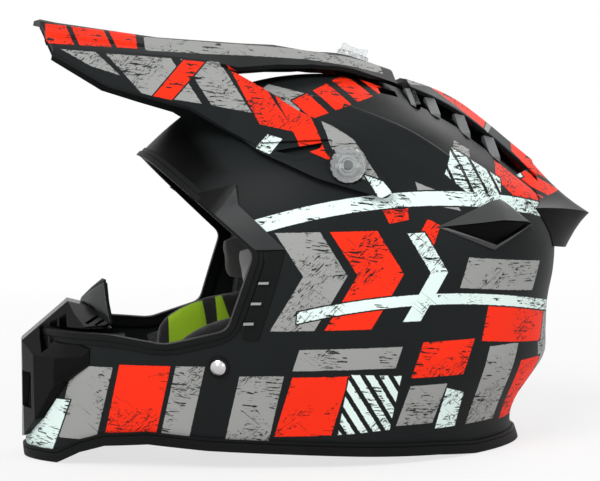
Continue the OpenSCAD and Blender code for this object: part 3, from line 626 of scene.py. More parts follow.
def cloth(name, color, pitch=1.1, depth=0.22, sheen=0.35, second=None, mask=None, rough=0.9):
    """A knitted cloth: small loops in rows, with a soft sheen."""
    n = Plastic(name, Specular_IOR_Level=0.2, Roughness=rough, Sheen_Weight=sheen, Sheen_Roughness=0.45)
    x, y, z = n.axes()
    w, k = n.noise(0.25, 2), 2 * math.pi / pitch
    a = n.f("SINE", n.f("MULTIPLY", n.f("ADD", x, n.f("ADD", y, w)), k))
    b = n.f("SINE", n.f("MULTIPLY", n.f("SUBTRACT", n.f("ADD", z, w), n.f("MULTIPLY", y, 0.6)), k * 0.8))
    knit, fuzz = n.f("MULTIPLY", a, b), n.noise(1.4, 5)
    tone = n.f("MULTIPLY_ADD", fuzz, 0.5, n.f("MULTIPLY", knit, 0.12))
    c = n.mix(tone, scaled(color, 0.7), scaled(color, 1.25))
    if mask:
        c = n.mix(mask(n), c, n.mix(tone, scaled(second, 0.75), scaled(second, 1.15)))
    n.color(c)
    n.bump(n.f("MULTIPLY_ADD", knit, 0.5, fuzz), depth)
    return n.mat


def metal(name, color, rough=0.25):
    n = Plastic(name, Metallic=1.0)
    g = n.noise(1.2, 4)
    n.color(n.mix(g, scaled(color, 0.9), color))
    n.rough(g, 0.2, rough - 0.1)
    n.bump(g, 0.02)
    return n.mat


def foam_mat():
    """Bead foam: cells with dark lines between them."""
    n = Plastic("bead_foam", Specular_IOR_Level=0.3)
    tone, line = n.noise(0.4, 2), n.step(n.cells(0.33, "DISTANCE_TO_EDGE"), 0.0, 0.10)
    n.color(n.mix(line, (0.012, 0.012, 0.0125), n.mix(tone, (0.035, 0.035, 0.036), (0.055, 0.055, 0.056))))
    n.rough(tone, 0.2, 0.6)
    n.bump(n.f("SUBTRACT", 1.0, n.cells(0.33)), 0.5)
    return n.mat


def webbing_mat():
    """Ribs along the webbing, with the weft's steps across them."""
    n = Plastic("webbing_weave", Specular_IOR_Level=0.3, Roughness=0.75, Sheen_Weight=0.2)
    x, y, z = n.axes()
    a = n.f("SINE", n.f("MULTIPLY", x, 2 * math.pi / 1.5))
    b = n.f("MULTIPLY_ADD", n.f("SIGN", a), 0.5, n.f("ADD", z, y))
    b = n.f("SINE", n.f("MULTIPLY", b, 2 * math.pi / 2.0))
    h = n.f("MULTIPLY", n.f("ABSOLUTE", a), n.f("MULTIPLY_ADD", b, 0.3, 0.7))
    n.color(n.mix(h, (0.006, 0.006, 0.0065), (0.028, 0.028, 0.03)))
    n.bump(h, 0.4)
    return n.mat


def clear_mat():
    n = Plastic("clear_moulded", Transmission_Weight=0.84, IOR=1.49, Coat_Weight=0.3)
    g = n.noise(0.5, 3)
    n.color(n.mix(g, (0.80, 0.83, 0.83), (0.95, 0.97, 0.97)))
    n.rough(g, 0.16, 0.10)
    n.bump(g, 0.05)
    return n.mat


# The print is a plain racing pattern of bars, chevrons and arcs, drawn from the side
def bar(x, z, w, h, lean):
    """A leaning bar: lower left corner, width, height and lean of its top."""
    return [(x, z), (x + w, z), (x + w + lean, z + h), (x + lean, z + h)]


def chevron(n, x, z, w, h, arm, lean=0.6):
    """An arrow mark that points backwards: its nose at (x, z)."""
    return n.polys(*[[(x, z), (x - w, z), (x - w - k * lean, z + dz), (x - k * lean, z + dz)]
                     for k, dz in ((h, h), (h * arm, -h * arm))])


def shell_print(n):
    grey = n.any(
        n.polys(bar(-160, 16, 24, 46, 11), bar(-98, 17, 17, 47, 10), bar(-60, 14, 26, 44, 9), bar(44, 24, 24, 25, 8),
                bar(92, 20, 22, 50, 12), bar(-20, 61, 62, 13, 4), bar(146, 44, 14, 44, -4),
                [(82, 108), (136, 102), (142, 120), (88, 126)], [(88, 196), (98, 190), (92, 172), (78, 178)],
                [(-36, 224), (-22, 233), (2, 225), (-10, 214)], [(56, 172), (78, 163), (84, 154), (58, 160)]),
        chevron(n, 12, 118, 26, 26, 1.25))
    red = n.any(
        n.polys(bar(-131, 17, 30, 47, 10), bar(-30, 20, 34, 37, 10), bar(52, 54, 34, 22, 7), bar(120, 18, 18, 40, 9),
                [(98, 74), (146, 68), (150, 90), (102, 96)], [(30, 166), (50, 160), (50, 150), (38, 148)],
                [(117, 183), (147, 160), (158, 140), (134, 152), (112, 172)],
                [(62, 150), (70, 146), (64, 132), (54, 138)]),
        chevron(n, 46, 118, 28, 26, 1.25),
        n.all(n.poly([(-34, 212), (-16, 206), (52, 228), (30, 240)]), n.slats(40, 15, 0.7, 0.2)))
    white = n.any(
        n.all(n.arc(60, -190, 352, 8.5), n.poly([(-58, 100), (150, 60), (190, 190), (-62, 190)])),
        n.all(n.arc(60, -250, 352, 6.5), n.poly([(-21, 40), (150, 20), (190, 150), (-14, 150)])),
        n.polys(bar(-184, 6, 21, 34, 12), [(70, 20), (84, 20), (88, 42), (76, 46)]), chevron(n, 74, 118, 11, 24, 1.2),
        n.all(n.poly([(8, 20), (40, 22), (46, 56), (14, 58)]), n.slats(32, 7, 0.6)),
        n.all(n.poly([(84, 192), (116, 172), (110, 148), (76, 176)]), n.slats(20, 9, 0.78)))
    return red, grey, white


def peak_print(n):
    grey = n.any(
        n.polys([(-124, 253), (-84, 249.5), (-68, 221), (-103, 227)], [(-78, 249), (-54, 247), (-38, 215), (-62, 220)],
                [(-151, 256), (-130, 254), (-116, 239), (-133, 245)], [(2, 211), (20, 198), (34, 172), (10, 178)]),
        n.ribbon([(-99, 264.2), (-62, 260.8), (-36, 258.6), (3, 255), (32, 249.6), (52, 244.6)],
                 [(-99, 254.8), (-62, 252.4), (-36, 251.2), (3, 248.4), (32, 243.4), (52, 238.6)]))
    red = n.any(
        n.polys([(-49, 245), (-28, 232), (-14, 203), (-34, 208)], [(-23, 228), (-4, 214), (4, 186), (-12, 194)],
                [(-97, 226), (-86, 223.5), (-63, 247), (-76, 248.5)]),
        n.all(n.poly([(-160, 273), (-104, 266.4), (-104, 256), (-160, 260)]), n.slats(20, 21, 0.86, 0.1)))
    white = n.polys([(24, 177), (35, 173), (40, 166), (32, 163)], [(-30, 202), (-22, 199), (-30, 190), (-38, 194)])
    return red, grey, white


def spine_print(n):
    grey = n.polys([(66, 232), (66, 245), (82, 245), (86, 230)], [(108, 214), (122, 222), (134, 212), (118, 200)])
    red = n.any(n.all(n.poly([(84, 226), (88, 240), (128, 215), (112, 200)]), n.slats(50, 12, 0.7)),
                n.poly([(134, 188), (140, 204), (170, 176), (152, 168)]))
    return red, grey, None


def tail_print(n):
    red = n.all(n.poly([(128, 190), (168, 176), (178, 164), (150, 158), (120, 176)]), n.slats(65, 11, 0.74))
    return red, None, n.poly([(104, 184), (124, 190), (138, 172), (112, 166)])


def pad_mask(n):
    """Green faces of a cheek pad, inside its black edges and between its seams."""
    n.flat(0.1)
    green = n.polys([(-82, 48), (-82, 104), (-61, 104), (-52.5, 48)], [(-24, 48), (-30, 92), (26, 92), (26, 48)],
                    [(-50.5, 104), (-47.5, 48), (-32, 48), (-40, 74), (-49, 104)])
    y = n.f("ABSOLUTE", n.axes()[1])
    return n.f("MULTIPLY", n.step(green, -0.3, 0.3), n.step(y, 66.5, 67.5, 1.0, 0.0))


def liner_mask(n):
    n.flat(0.1)
    rows = n.poly([(-60, 140), (-60, 196), (110, 196), (110, 140)])
    return n.step(n.all(rows, n.slats(90, 27, 0.5, 0.72)), -0.3, 0.3)


M = {
    # dark: painted shade, near-black on the brow under the peak and on the crown band above the ridge
    "shell": painted("shell_paint", shell_print, centre=(10, 0, 110),
                     dark=([(-190, 118), (-190, 260), (-86, 232), (-58, 180), (-96, 150)],
                           [(30, 226), (128, 157), (150, 200), (100, 250), (30, 250)])),
    # dark: painted shade on the plate's rear end, which the rim light would otherwise light
    "peak": painted("peak_paint", peak_print, 0.6, 0.40, way=(0.6, 0.8),
                    dark=([(48, 226), (80, 226), (80, 262), (48, 262)],)),
    "spine": painted("spine_paint", spine_print, 0.6, way=(0.7, 0.7)),
    # dark: painted shade over the tail wing, which the rim light would otherwise light
    "tail": painted("tail_paint", tail_print, 0.6, 0.38, way=(0.7, 0.7),
                    dark=([(120, 100), (210, 100), (210, 160), (165, 172), (120, 160)],)),
    # dark: painted shade on the temple trim's front facet, which lies under the peak's shadow
    "trim": plastic("satin_trim", (0.030, 0.0318, 0.0325), spec=0.10,
                    dark=([(-84, 160), (-63.5, 155), (-50, 171.8), (-76, 180)],)),
    "frame": plastic("frame_plastic", (0.0062, 0.0066, 0.0068), 0.40, spec=0.08),
    # painted shade: the near-black of the exhaust pit stands for shade in the recess
    "pit": plastic("pit_plastic", (0.0012, 0.0013, 0.0014), 0.6, spec=0.05),
    "satin": plastic("satin_facets", (0.020, 0.021, 0.0215), 0.30, spec=0.55),
    # painted highlight: the ribs' light grey stands for black plastic that catches the light
    "rib": plastic("rib_plastic", (0.15, 0.155, 0.158), 0.42, spec=0.25),
    # painted highlight: light grey for the highlights along the port frame's slots
    "line": plastic("light_inset", (0.30, 0.31, 0.31), 0.4),
    "guard": plastic("guard_plastic", (0.0014, 0.0015, 0.0016), 0.22, round_mm=0.8, spec=0.09),
    "rubber": plastic("soft_rubber", (0.0058, 0.0062, 0.0064), 0.50, 0.08, 2.4, 0.7, spec=0.09),
    "fin": plastic("fin_rubber", (0.018, 0.021, 0.0205), 0.24, spec=0.5),
    "thread": plastic("stitch_thread", (0.05, 0.05, 0.05), 0.7, round_mm=0.0),
    "clear": clear_mat(),
    "foam": foam_mat(),
    "wire": metal("black_wire", (0.10, 0.10, 0.105), 0.45),
    "steel": metal("polished_steel", (0.66, 0.66, 0.67), 0.22),
    "brass": metal("turned_brass", (0.62, 0.44, 0.17), 0.3),
    "bush": metal("turned_steel", (0.5, 0.5, 0.51), 0.3),
    "web": webbing_mat(),
    "temple": cloth("temple_cloth", (0.30, 0.30, 0.305), depth=0.08, sheen=0.5, rough=0.5),
    "pad": cloth("cheek_pad_cloth", (0.018, 0.018, 0.019), second=GREEN, mask=pad_mask),
    "liner": cloth("crown_liner_cloth", (0.014, 0.014, 0.015), second=(0.035, 0.035, 0.037), mask=liner_mask),
    "roll": cloth("neck_roll_cloth", (0.022, 0.022, 0.023), pitch=1.6, depth=0.3)}


# ---------------------------------------------------------------- shell and the trim on it
def above_base(lift):
    return [(p[0], p[1] + lift) for p in BASE] + [(260, 300), (-260, 300)]


def at_vent(x, side):
    """A frame on the shell at the crown vent at x."""
    gx = (dome_z(x + 1, 41) - dome_z(x - 1, 41)) / 2
    gy = (dome_z(x, 42) - dome_z(x, 40)) / 2
    n = Vector((-gx, -side * gy, 1)).normalized()
    return frame_at((x, side * 41, dome_z(x, 41)), n)


def on_top(r, deg=18.5):
    """A frame on the top screw's axis, r from the side screws' axis."""
    n = Vector((math.sin(math.radians(deg)), 0, math.cos(math.radians(deg))))
    return frame_at((SCREW[0] + r * n.x, 0, SCREW[1] + r * n.z), n)


def on_screw(side, y):
    """A frame on a side screw's axis, y from the middle."""
    return frame_at((SCREW[0], side * y, SCREW[1]), Vector((0, side, 0)))


VENTS = [52, 71, 90, 109]
DIAMOND = [(67, 145), (111, 161), (135, 143.5), (105, 129.5)]
SEAT_R, PLATE_R = 69.4, 70.0
HEAD_Y = side_y(14, 172.5) + 3
POST_R = 65.4


def mouth_slot(s, play=0.0):
    """The slot for air in the chin, with play all round."""
    return block((-190, s * 15 - 9 - play, 33 - play), (-130, s * 15 + 9 + play, 55 + play))


def build_shell():
    s = layer(-T, 0)
    cut(s, prism(above_base(3.3)), "INTERSECT")
    cut(s, prism(rounded(grown(PORT, 2), 7)))
    for side in (-1, 1):
        for x in VENTS:
            cut(s, block((-6, -5.5, -12), (6, 5.5, 12), at_vent(x, side)))
        cut(s, mouth_slot(side))
        rivet = frame_at(side_point(-63, 64, -10, side), Vector((1, side, 1)) * side_normal(-63, 64))
        cut(s, bore(2.6, 0, 20, rivet, 24))
    cut(s, prism(grown(DIAMOND, -6)))
    post = bore(8, 50, POST_R, on_top(0), 48)
    cut(post, form_copy(-2.0))
    cut(post, bore(5.1, 30, 90, on_top(0), 48))
    # a low dam that closes the view between the peak's rear end and the spine
    dam = prism([(46, 226), (50.5, 235.2), (54.2, 234.95), (58.8, 234), (63.4, 232.5), (67.6, 231.2), (67.6, 222)],
                -9, 9)
    cut(dam, form_copy(-2.0))
    piece([s, post, dam], "shell_skin", "shell", "shell_black", "shell", angle=28)


def strip(path, section, side):
    """A low ridge along a line on the shell's side; section is (distance across, height) from below to above."""
    rings, n = [], len(path)
    for i, p in enumerate(path):
        d = (Vector(path[min(n - 1, i + 1)]) - Vector(path[max(0, i - 1)])).normalized()
        e = min(1.0, 5 * min(i, n - 1 - i) / n + 0.02)
        w = 0.3 + 0.7 * e
        rings.append([side_point(p[0] - d.y * t * w, p[1] + d.x * t * w, h * e, side) for t, h in section])
    return stack(rings)


def spline(pts, u):
    """A point at u on a smooth line through the points 0, 1, 2 and so on."""
    i = min(int(u), len(pts) - 2)
    t = u - i
    p = [Vector(pts[max(0, min(len(pts) - 1, i + d))]) for d in (-1, 0, 1, 2)]
    return 0.5 * (2 * p[1] + (p[2] - p[0]) * t + (2 * p[0] - 5 * p[1] + 4 * p[2] - p[3]) * t * t
                  + (3 * p[1] - p[0] - 3 * p[2] + p[3]) * t ** 3)


def facets(pts, faces, side, fine=5):
    """A trim piece on the shell's side: facets through points (x, z, height), with walls down to the shell."""
    verts, key, out = [], {}, []
    base = 0.15                       # the walls' foot over the shell

    def at(x, z, h):
        k = (round(x, 3), round(z, 3), round(h, 3))
        if k not in key:
            key[k] = len(verts)
            verts.append(side_point(x, z, h, side))
        return key[k]
    for f in faces:
        for q in range(1, len(f) - 1):
            a, b, c = (Vector(pts[i]) for i in (f[0], f[q], f[q + 1]))

            def g(i, j):
                w = a + (b - a) * (i / fine) + (c - a) * (j / fine)
                return at(*w)
            for i in range(fine):
                for j in range(fine - i):
                    out.append((g(i, j), g(i + 1, j), g(i, j + 1)))
                    if i + j < fine - 1:
                        out.append((g(i + 1, j), g(i + 1, j + 1), g(i, j + 1)))
    edges = [(f[q], f[(q + 1) % 3]) for f in out for q in range(3)]
    uses = Counter(frozenset(e) for e in edges)
    places, low = list(key), {}
    for a, b in edges:
        if uses[frozenset((a, b))] == 1:
            for v in (a, b):
                if v not in low:
                    low[v] = len(verts)
                    verts.append(side_point(*places[v][:2], base, side))
            out.append((b, a, low[a], low[b]))
    return outward(put("facets", verts, out))


RIDGE = [(-22, 231), (10, 222), (32, 213), (56, 202), (80, 186), (102, 168), (122, 152), (138, 139)]
RIDGE_SECTION = [(-13, -0.3), (-9, 0.12), (-5, 0.55), (-2, 1.15), (-0.4, 1.55), (0.5, 1.5), (1.3, 0.6), (1.8, -0.3)]
# facet trims: points (x, z, height) and faces
TEMPLE = ([(-77.7, 165.6, 0.9), (-50, 171.8, 2.4), (-24, 134.2, 0.9), (-41, 134, 2.4), (-63.5, 155, 3.0),
           (-49.5, 160.3, 1.0)], [(0, 4, 1), (1, 4, 5), (4, 3, 5), (3, 2, 5)])
PORT_SIDE = ([(-49, 82, 1.9), (-40, 80, 0.7), (-30, 112, 0.7), (-24, 133.6, 0.7), (-33, 133.2, 1.9), (-39, 117, 1.9)],
             [(0, 1, 2, 5), (5, 2, 3, 4)])
EXHAUST_TOP = ([(67, 145, 0.5), (111, 161, 0.6), (135, 143.5, 0.8), (108, 146.2, 6.4), (127, 144.4, 5.2)],
               [(0, 3, 1), (1, 3, 4), (1, 4, 2)])
EXHAUST_LIP = ([(67, 145, 0.5), (105, 129.5, 1.0), (135, 143.5, 1.6), (129, 142.4, 4.6), (104.6, 132.4, 4.0),
                (74, 144.2, 0.9)], [(0, 5, 4, 1), (1, 4, 3, 2)])
PIT_TOP = ([(71, 144.6, 0.35), (104.6, 132.8, 0.35), (130, 142.5, 0.35), (127, 144.0, 4.4), (108, 145.7, 5.6)],
           [(0, 1, 4), (1, 2, 3), (1, 3, 4)])
PIT_WALL = ([(74, 144.2, 0.4), (104.6, 132.8, 0.4), (129, 142.5, 0.4), (104.6, 132.4, 3.8), (128.6, 142.3, 4.4)],
            [(0, 1, 3), (1, 2, 4), (1, 4, 3)])


def build_trim():
    for side, word in SIDES:
        path = [spline(RIDGE, (len(RIDGE) - 1) * k / 59) for k in range(60)]
        piece(strip(path, RIDGE_SECTION, side), "crown_ridge_" + word, "shell", "shell_black", angle=40)
        piece(facets(*TEMPLE, side), "temple_trim_" + word, "trim", "plastic_black", "brow_trim_" + word, angle=20)
        # three raised bars where the frame has slots; their light grey is a painted highlight
        bars = []
        for i in range(3):
            x, z = -48.4 + 4.4 * i, 90.2 + 12.0 * i
            g = [[side_point(x + 5.8 * u + 0.25 * w, z + w, 2.25 - 0.5 * u, side) for w in (0, 0.65, 1.3)]
                 for u in (0, 0.33, 0.66, 1)]
            bars.append(plate(g if side > 0 else [r[::-1] for r in g], 1.6))
        piece(facets(*PORT_SIDE, side, 6), "port_frame_" + word, "frame", "plastic_black", "port_trim_" + word,
              angle=20)
        piece(bars, "frame_insets_" + word, "line", "plastic_black")
        # rear exhaust: an upper facet that faces the light over a pit with its own lip; the pit's near-black colour is
        # painted shade
        piece([facets(*f, side, 6) for f in (EXHAUST_TOP, EXHAUST_LIP)], "rear_exhaust_" + word, "satin",
              "plastic_black", "rear_vent_" + word, angle=18)
        piece([facets(*f, side, 4) for f in (PIT_TOP, PIT_WALL)], "exhaust_pit_" + word, "pit", "plastic_black",
              angle=18)
    e = layer(-T - GAP - EDGING, 1.6)
    room = layer(-T - GAP, GAP)      # the shell's own room in the edge
    cut(room, prism(rounded(grown(PORT, 2 - GAP), 7)))
    cut(e, room)
    cut(e, prism(rounded(grown(PORT, 7), 12)), "INTERSECT")
    cut(e, prism(rounded(PORT, 5)))
    step = layer(0.8, 3.0)
    cut(step, prism(rounded(grown(PORT, 3.6), 8)))
    cut(e, step)
    piece(e, "port_gasket", "rubber", "rubber_black", "port_edging")
    b = layer(-6.0, 2.0)
    cut(b, prism(above_base(0)), "INTERSECT")
    cut(b, prism(above_base(8)))
    room = layer(-T - GAP, GAP)
    cut(room, prism(above_base(3)), "INTERSECT")
    cut(b, room)
    groove = layer(1.3, 3.0)
    cut(groove, prism(above_base(5.6)), "INTERSECT")
    cut(groove, prism(above_base(6.4)))
    cut(b, groove)
    piece(b, "base_rubber", "rubber", "rubber_black", "base_band")


def loft(ys, outlines):
    """A solid through outlines seen from the side, mirrored to the other side."""
    rings = [[(p[0], y, p[1]) for p in o] for y, o in zip(ys, outlines)]
    return stack([[(x, -y, z) for x, y, z in r] for r in rings[:0:-1]] + rings)


GUARD_ROWS = [
    [(-181.5, 12), (-181, 30), (-180.4, 74.5), (-151.1, 99.5), (-134, 95), (-128, 80), (-150, 20)],
    [(-180, 14), (-180, 32), (-179.9, 74.5), (-150.6, 98.5), (-134, 94), (-128, 80), (-150, 22)],
    [(-173, 26), (-173, 40), (-173, 67), (-147, 92), (-131, 90), (-124, 78), (-145, 32)],
    [(-160, 50), (-161, 54), (-160, 66), (-141, 85), (-126, 86), (-118, 76), (-140, 52)],
    [(-141, 62), (-144, 64), (-144, 68), (-134, 76), (-122, 80), (-112, 74), (-125, 64)]]
GUARD_Y = [0, 13, 28, 44, 56]
# the nose guard's right half: rows from the shelf up, from the middle outwards
FIN = [[(-143.1, 0, 90), (-136.1, 16, 82), (-123.1, 29.5, 76)],
       [(-143.1, 0, 96), (-136.1, 12, 97), (-126.6, 22, 97)],
       [(-141.6, 0, 99.6), (-135.1, 7.5, 105), (-127.6, 14.5, 110.2)]]


def build_guard():
    g = loft(GUARD_Y, GUARD_ROWS)
    for f, corner in ((form_copy(GAP), (0, 200)), (form_copy(-6.1), (200, 200))):
        cut(f, block((-260, -200, 83.9), (*corner, 260)))
        cut(g, f)
    f = layer(-7.0, 1.9)
    cut(f, prism(rounded(grown(PORT, 7.3), 12)), "INTERSECT")
    cut(f, block((-260, -100, 83.9), (0, 100, 260)))
    cut(g, f)
    cut(g, block((-200, -100, -20), (0, 100, 8.3)))
    for s in (-1, 1):
        cut(g, mouth_slot(s, 0.4))
        # side duct: a slanted pocket with two vanes left in it, and louvres on the shelf
        for k in range(3):
            m = moved((-163, s * 30, 80), (-38, "Y"), (s * 24, "Z"))
            cut(g, block((-9 + 7.4 * k, -14, -6.5 + k), (-3.2 + 7.4 * k, 14, 6.5 - k), m))
        for k in range(3):
            m = moved((-135 + 5.5 * k, s * (33 + 3.5 * k), 90 - 2.2 * k), (s * 35, "Z"))
            cut(g, block((-1.1, -8, -4.5), (1.1, 6, 6), m))
    piece(g, "chin_guard", "guard", "plastic_black", "mouth_guard", angle=12)
    rows = [[(x, -y, z) for x, y, z in r[:0:-1]] + r for r in FIN]
    fine = []
    for i in range(9):
        a, u = min(i // 4, 1), i / 4
        r = []
        for j in range(13):
            b, v = min(j // 3, 3), j / 3
            p = [Vector(rows[a + d][b]).lerp(Vector(rows[a + d][b + 1]), v - b) for d in (0, 1)]
            r.append(p[0].lerp(p[1], u - a))
        fine.append(r)
    n = plate(fine, 3.2)
    cut(n, loft(GUARD_Y, [[(p[0], p[1] + GAP) for p in r] for r in GUARD_ROWS]))
    cut(n, block((-260, -100, 0), (0, 100, 84.6)))
    m = n.modifiers.new("r", "BEVEL")
    m.width, m.segments, m.limit_method, m.angle_limit = 0.0006, 2, "ANGLE", math.radians(50)
    baked(n)
    piece(n, "nose_fin", "fin", "rubber_black", "nose_guard")


# ---------------------------------------------------------------- peak
HOOD_TOPS = [(-167, 275.6), (-125, 269), (-90, 263.5), (-62, 261.2), (-38, 259.2)]
HOOD_EDGES = [(-156, 257.5), (-124, 254.8), (-90, 251.7), (-64, 248.5), (-42, 243.5)]


def peak_plate():
    rows = []                          # (is front, top point, edge point)
    for a, b, e, f in zip(HOOD_TOPS, HOOD_TOPS[1:], HOOD_EDGES, HOOD_EDGES[1:]):
        for u in (0, 1 / 3, 2 / 3):
            rows.append((True, Vector(a).lerp(Vector(b), u), Vector(e).lerp(Vector(f), u)))
    rows.append((True, Vector(HOOD_TOPS[-1]), Vector(HOOD_EDGES[-1])))
    for i, a in enumerate([-22, -18, -14, -10, -7, -3, 0, 4, 8, 12, 16, 20, 24, 28, 31, 35, 38]):
        r = PLATE_R + (0.018 * a * a - 0.1 * a if a < 0 else 0) + (0.012 * (a - 20) ** 2 if a > 20 else 0)
        t = Vector((SCREW[0] + r * math.sin(math.radians(a)), SCREW[1] + r * math.cos(math.radians(a))))
        rows.append((False, t, t - Vector((0, 9 + max(0, 4 - i)))))
    g = []
    for i, (front, t, e) in enumerate(rows):
        h = 41 if front else 33 + max(0, 5 - 1.5 * (i - 13))
        nose, low = (4, 0) if i == 0 else (0, 1)
        groove = 2.2 * max(0, min(1, (-96 - t.x) / 6)) * (0.2 if i == 0 else 1)
        row = [Vector((t.x + (nose if y else 0), y, t.y + d)) for y, d in ((0, -low), (12, 0.4), (18, -1))]
        a, b = row[-1], Vector((e.x, h, e.y))
        for u, k in ((0.08, 0), (0.40, 0), (0.45, 1), (0.58, 1), (0.63, 0), (0.95, 0)):
            row.append(a.lerp(b, u) - Vector((0, 0, groove * k)))
        row.append(b)
        g.append([Vector((p.x, -p.y, p.z)) for p in row[:0:-1]] + row)
    return plate(g, 3.0)


def peak_side(side):
    rows = [[(-156, 41, 257.5), (-156, 43, 256.3), (-156, 45, 255)],
            [(-124, 41, 254.8), (-124, 54, 245), (-124, 62, 234)],
            [(-90, 41, 251.7), (-94, 58, 240), (-99, 72, 226.5)],
            [(-64, 41.5, 248.5), (-69, 62, 235), (-75, 76, 219)],
            [(-43, 51, 239), (-48, 68, 223), (-54, 78, 205.5)],
            [side_point(-18, 219.5, 5), side_point(-26, 206, 5), side_point(-34, 191.5, 5)]]
    return plate([[(p[0], side * p[1], p[2]) for p in r[::side]] for r in rows], 3.0)


ARM = [(-30, 231), (-8, 214.5), (12, 204.5), (26, 193), (41, 167), (36, 162.5), (-4, 175.5), (-36, 191.5), (-46, 200)]
SLOT = [(-27, 192), (2, 196.5), (0, 193), (-15, 189)]


def tilted(o, deg):
    """Turned about the side screws."""
    c = to_m((SCREW[0], 0, SCREW[1]))
    o.data.transform(Matrix.Translation(c) @ Matrix.Rotation(math.radians(deg), 4, "Y") @ Matrix.Translation(-c))
    return o


def build_peak():
    arms = layer(2.0, 5.0)
    cut(arms, prism(rounded(ARM, 3)), "INTERSECT")
    cut(arms, block((-200, -5, 0), (200, 5, 300)))
    cut(arms, prism(rounded(SLOT, 1.5, 3)))
    dip = layer(3.4, 7.0)
    cut(dip, prism(rounded([(-38, 197), (-34, 190), (-14, 185.5), (5, 190.5), (8, 198.5)], 3)), "INTERSECT")
    cut(arms, dip)
    parts = [peak_plate(), peak_side(1), peak_side(-1), arms]
    for s in (-1, 1):
        pod = turned([(0, 0), (12, 0), (12, 29.4), (11.4, 30), (0, 30)], on_screw(s, HEAD_Y - 30), 64)
        cut(pod, form_copy(2.0))
        parts.append(pod)
    p = union(parts)
    for s in (-1, 1):
        cut(p, bore(6.15, 0, 80, on_screw(s, 60), 48))
        cut(p, bore(11.5, 0, 20, on_screw(s, HEAD_Y), 64))
    for a in (2.5, -6.5):
        cut(p, tilted(form_copy(0.6), a))
    for k in range(10):
        cut(p, bore(3.6, 0, 100, on_top(0, 12.0 + k), 24))
    ring = turned([(SEAT_R, -40), (120, -40), (120, 40), (SEAT_R, 40), (SEAT_R, -40)],
                  frame_at((SCREW[0], 0, SCREW[1]), Vector((0, 1, 0))), 180)
    cut(ring, block((-18, -11.5, 0), (18, 11.5, 120), moved((SCREW[0], 0, SCREW[1]), (16.5, "Y"))), "INTERSECT")
    cut(p, ring)
    piece(p, "peak_body", "peak", "peak_black", "peak", angle=16, body="peak")


def build_screws():
    for name, m in (("left", on_screw(-1, HEAD_Y + GAP)), ("right", on_screw(1, HEAD_Y + GAP)),
                    ("top", on_top(SEAT_R + GAP))):
        head = turned([(0, -16), (2.6, -16), (3, -15.2), (3, 0), (9.9, 0), (10.5, 0.6), (10.5, 3.2), (10.1, 3.8),
                       (9.2, 4), (7.6, 4), (7.2, 3.3), (4.6, 3.3), (4.2, 4), (0, 4)], m, 96)
        for k in range(16):
            t = 2 * math.pi * k / 16
            cut(head, bore(0.9, -1, 6, m @ Matrix.Translation((10.9 * math.cos(t), 10.9 * math.sin(t), 0)), 12))
        pts = rounded([(-8.5, 3.5), (8.5, 3.5), (8.5, 9), (3.6, 7.6), (-3.6, 7.6), (-8.5, 9)], 1.4, 4)
        cut(head, stack([[m @ Vector((p[0], y, p[1])) for p in pts] for y in (-1.5, 1.5)]), "UNION")
        piece(head, "thumb_screw_" + name, "clear", "clear_plastic", "screw_" + name, angle=35, body="screw_" + name)


# ---------------------------------------------------------------- crown, tail
SPINE = [(68, 236.5, 230), (84, 231, 222.5), (101, 222.5, 212.5), (118, 210, 199.5), (136, 195, 184), (150, 183.5, 172)]


def spine_grid():
    g = []
    for k in range(34):
        x = 68 + 82 * k / 33
        top, low = curve(SPINE, x, 1), curve(SPINE, x, 2)
        half = [(0, top), (8, top - 0.6), (20, top - 1.2), (21, top - 1.5), (33.2, low + (top - 1.5 - low) * 0.12),
                (34, low)]
        g.append([(x, -y, z) for y, z in half[:0:-1]] + [(x, y, z) for y, z in half])
    return g


def woven(m, frame, reach, pitch, r):
    """A framed square of woven wires; sizes are halves."""
    wires = [ring_frame(m, *frame)]
    for k in range(-12, 13):
        u = k * pitch
        for axis, (own, other) in enumerate((reach, reach[::-1])):
            if abs(u) < own:
                n = round(other / pitch)
                line = []
                for j in range(2 * n + 1):
                    w = (j - n) * pitch
                    h = (0.22, -0.22)[axis] * (-1) ** (j + k)
                    line.append(m @ Vector((w, u, h) if axis else (u, w, h)))
                wires.append(tube(line, r, 5))
    return wires


def build_crown():
    parts, ribs = [plate(spine_grid(), 3.0)], []
    for i in range(5):
        x = max(52 - 9.5 + 19 * i, 68)
        top, low = curve(SPINE, x, 2), dome_z(x, 50)
        for s in (-1, 1):
            pts = [(32, top - 1), (26, top - 1), (26, low - 8), (51, low - 8), (51, low + 1.5)]
            rib = stack([[(x + d, s * y, z) for y, z in pts] for d in (-3, 3)])
            cut(rib, form_copy(GAP))
            (ribs if i else parts).append(rib)
    middle = block((68, -5, 150), (148, 5, 228))
    cut(middle, form_copy(GAP))
    cut(middle, prism([(p[0], p[1] - 1.5) for p in SPINE] + [(150, 300), (60, 300)]))
    o = union(parts + [middle])
    cut(o, block((-100, -100, -10), (68, 100, 300)))
    piece(o, "spine_roof", "spine", "plastic_black", "crown_spine", angle=14)
    # the ribs' light grey is a painted highlight
    piece(ribs, "crown_ribs", "rib", "plastic_black")
    for side, word in SIDES:
        wires = []
        for x in VENTS:
            m = at_vent(x, side) @ Matrix.Translation((0, 0, -T - GAP - 0.8))
            wires += woven(m, (8.3, 7.3), (8, 7.1), 1.15, 0.21)
        piece(wires, "vent_wire_" + word, "wire", "wire", "vent_mesh_" + word, angle=60)
    wires = [w for s in (-1, 1) for w in woven(mouth_frame(s), (10.3, 12.3), (10, 12.2), 1.2, 0.22)]
    piece(wires, "mouth_wire", "wire", "wire", "mouth_mesh", angle=60)


# the tail's outline at 0, 18, 36, 54 and 72 mm from the middle: top, tip, under the tip, inside
TAIL_Y = [0, 18, 36, 54, 72]
TAIL = [[(152, 182), (194, 145), (176, 123.5), (120, 130)], [(150, 181), (188, 147), (173, 124.5), (120, 130)],
        [(142, 176), (172, 150), (164, 126), (115, 130)], [(128, 172), (152, 152), (149, 129), (105, 132)],
        [(112, 166), (128, 153), (128, 134), (95, 140)]]


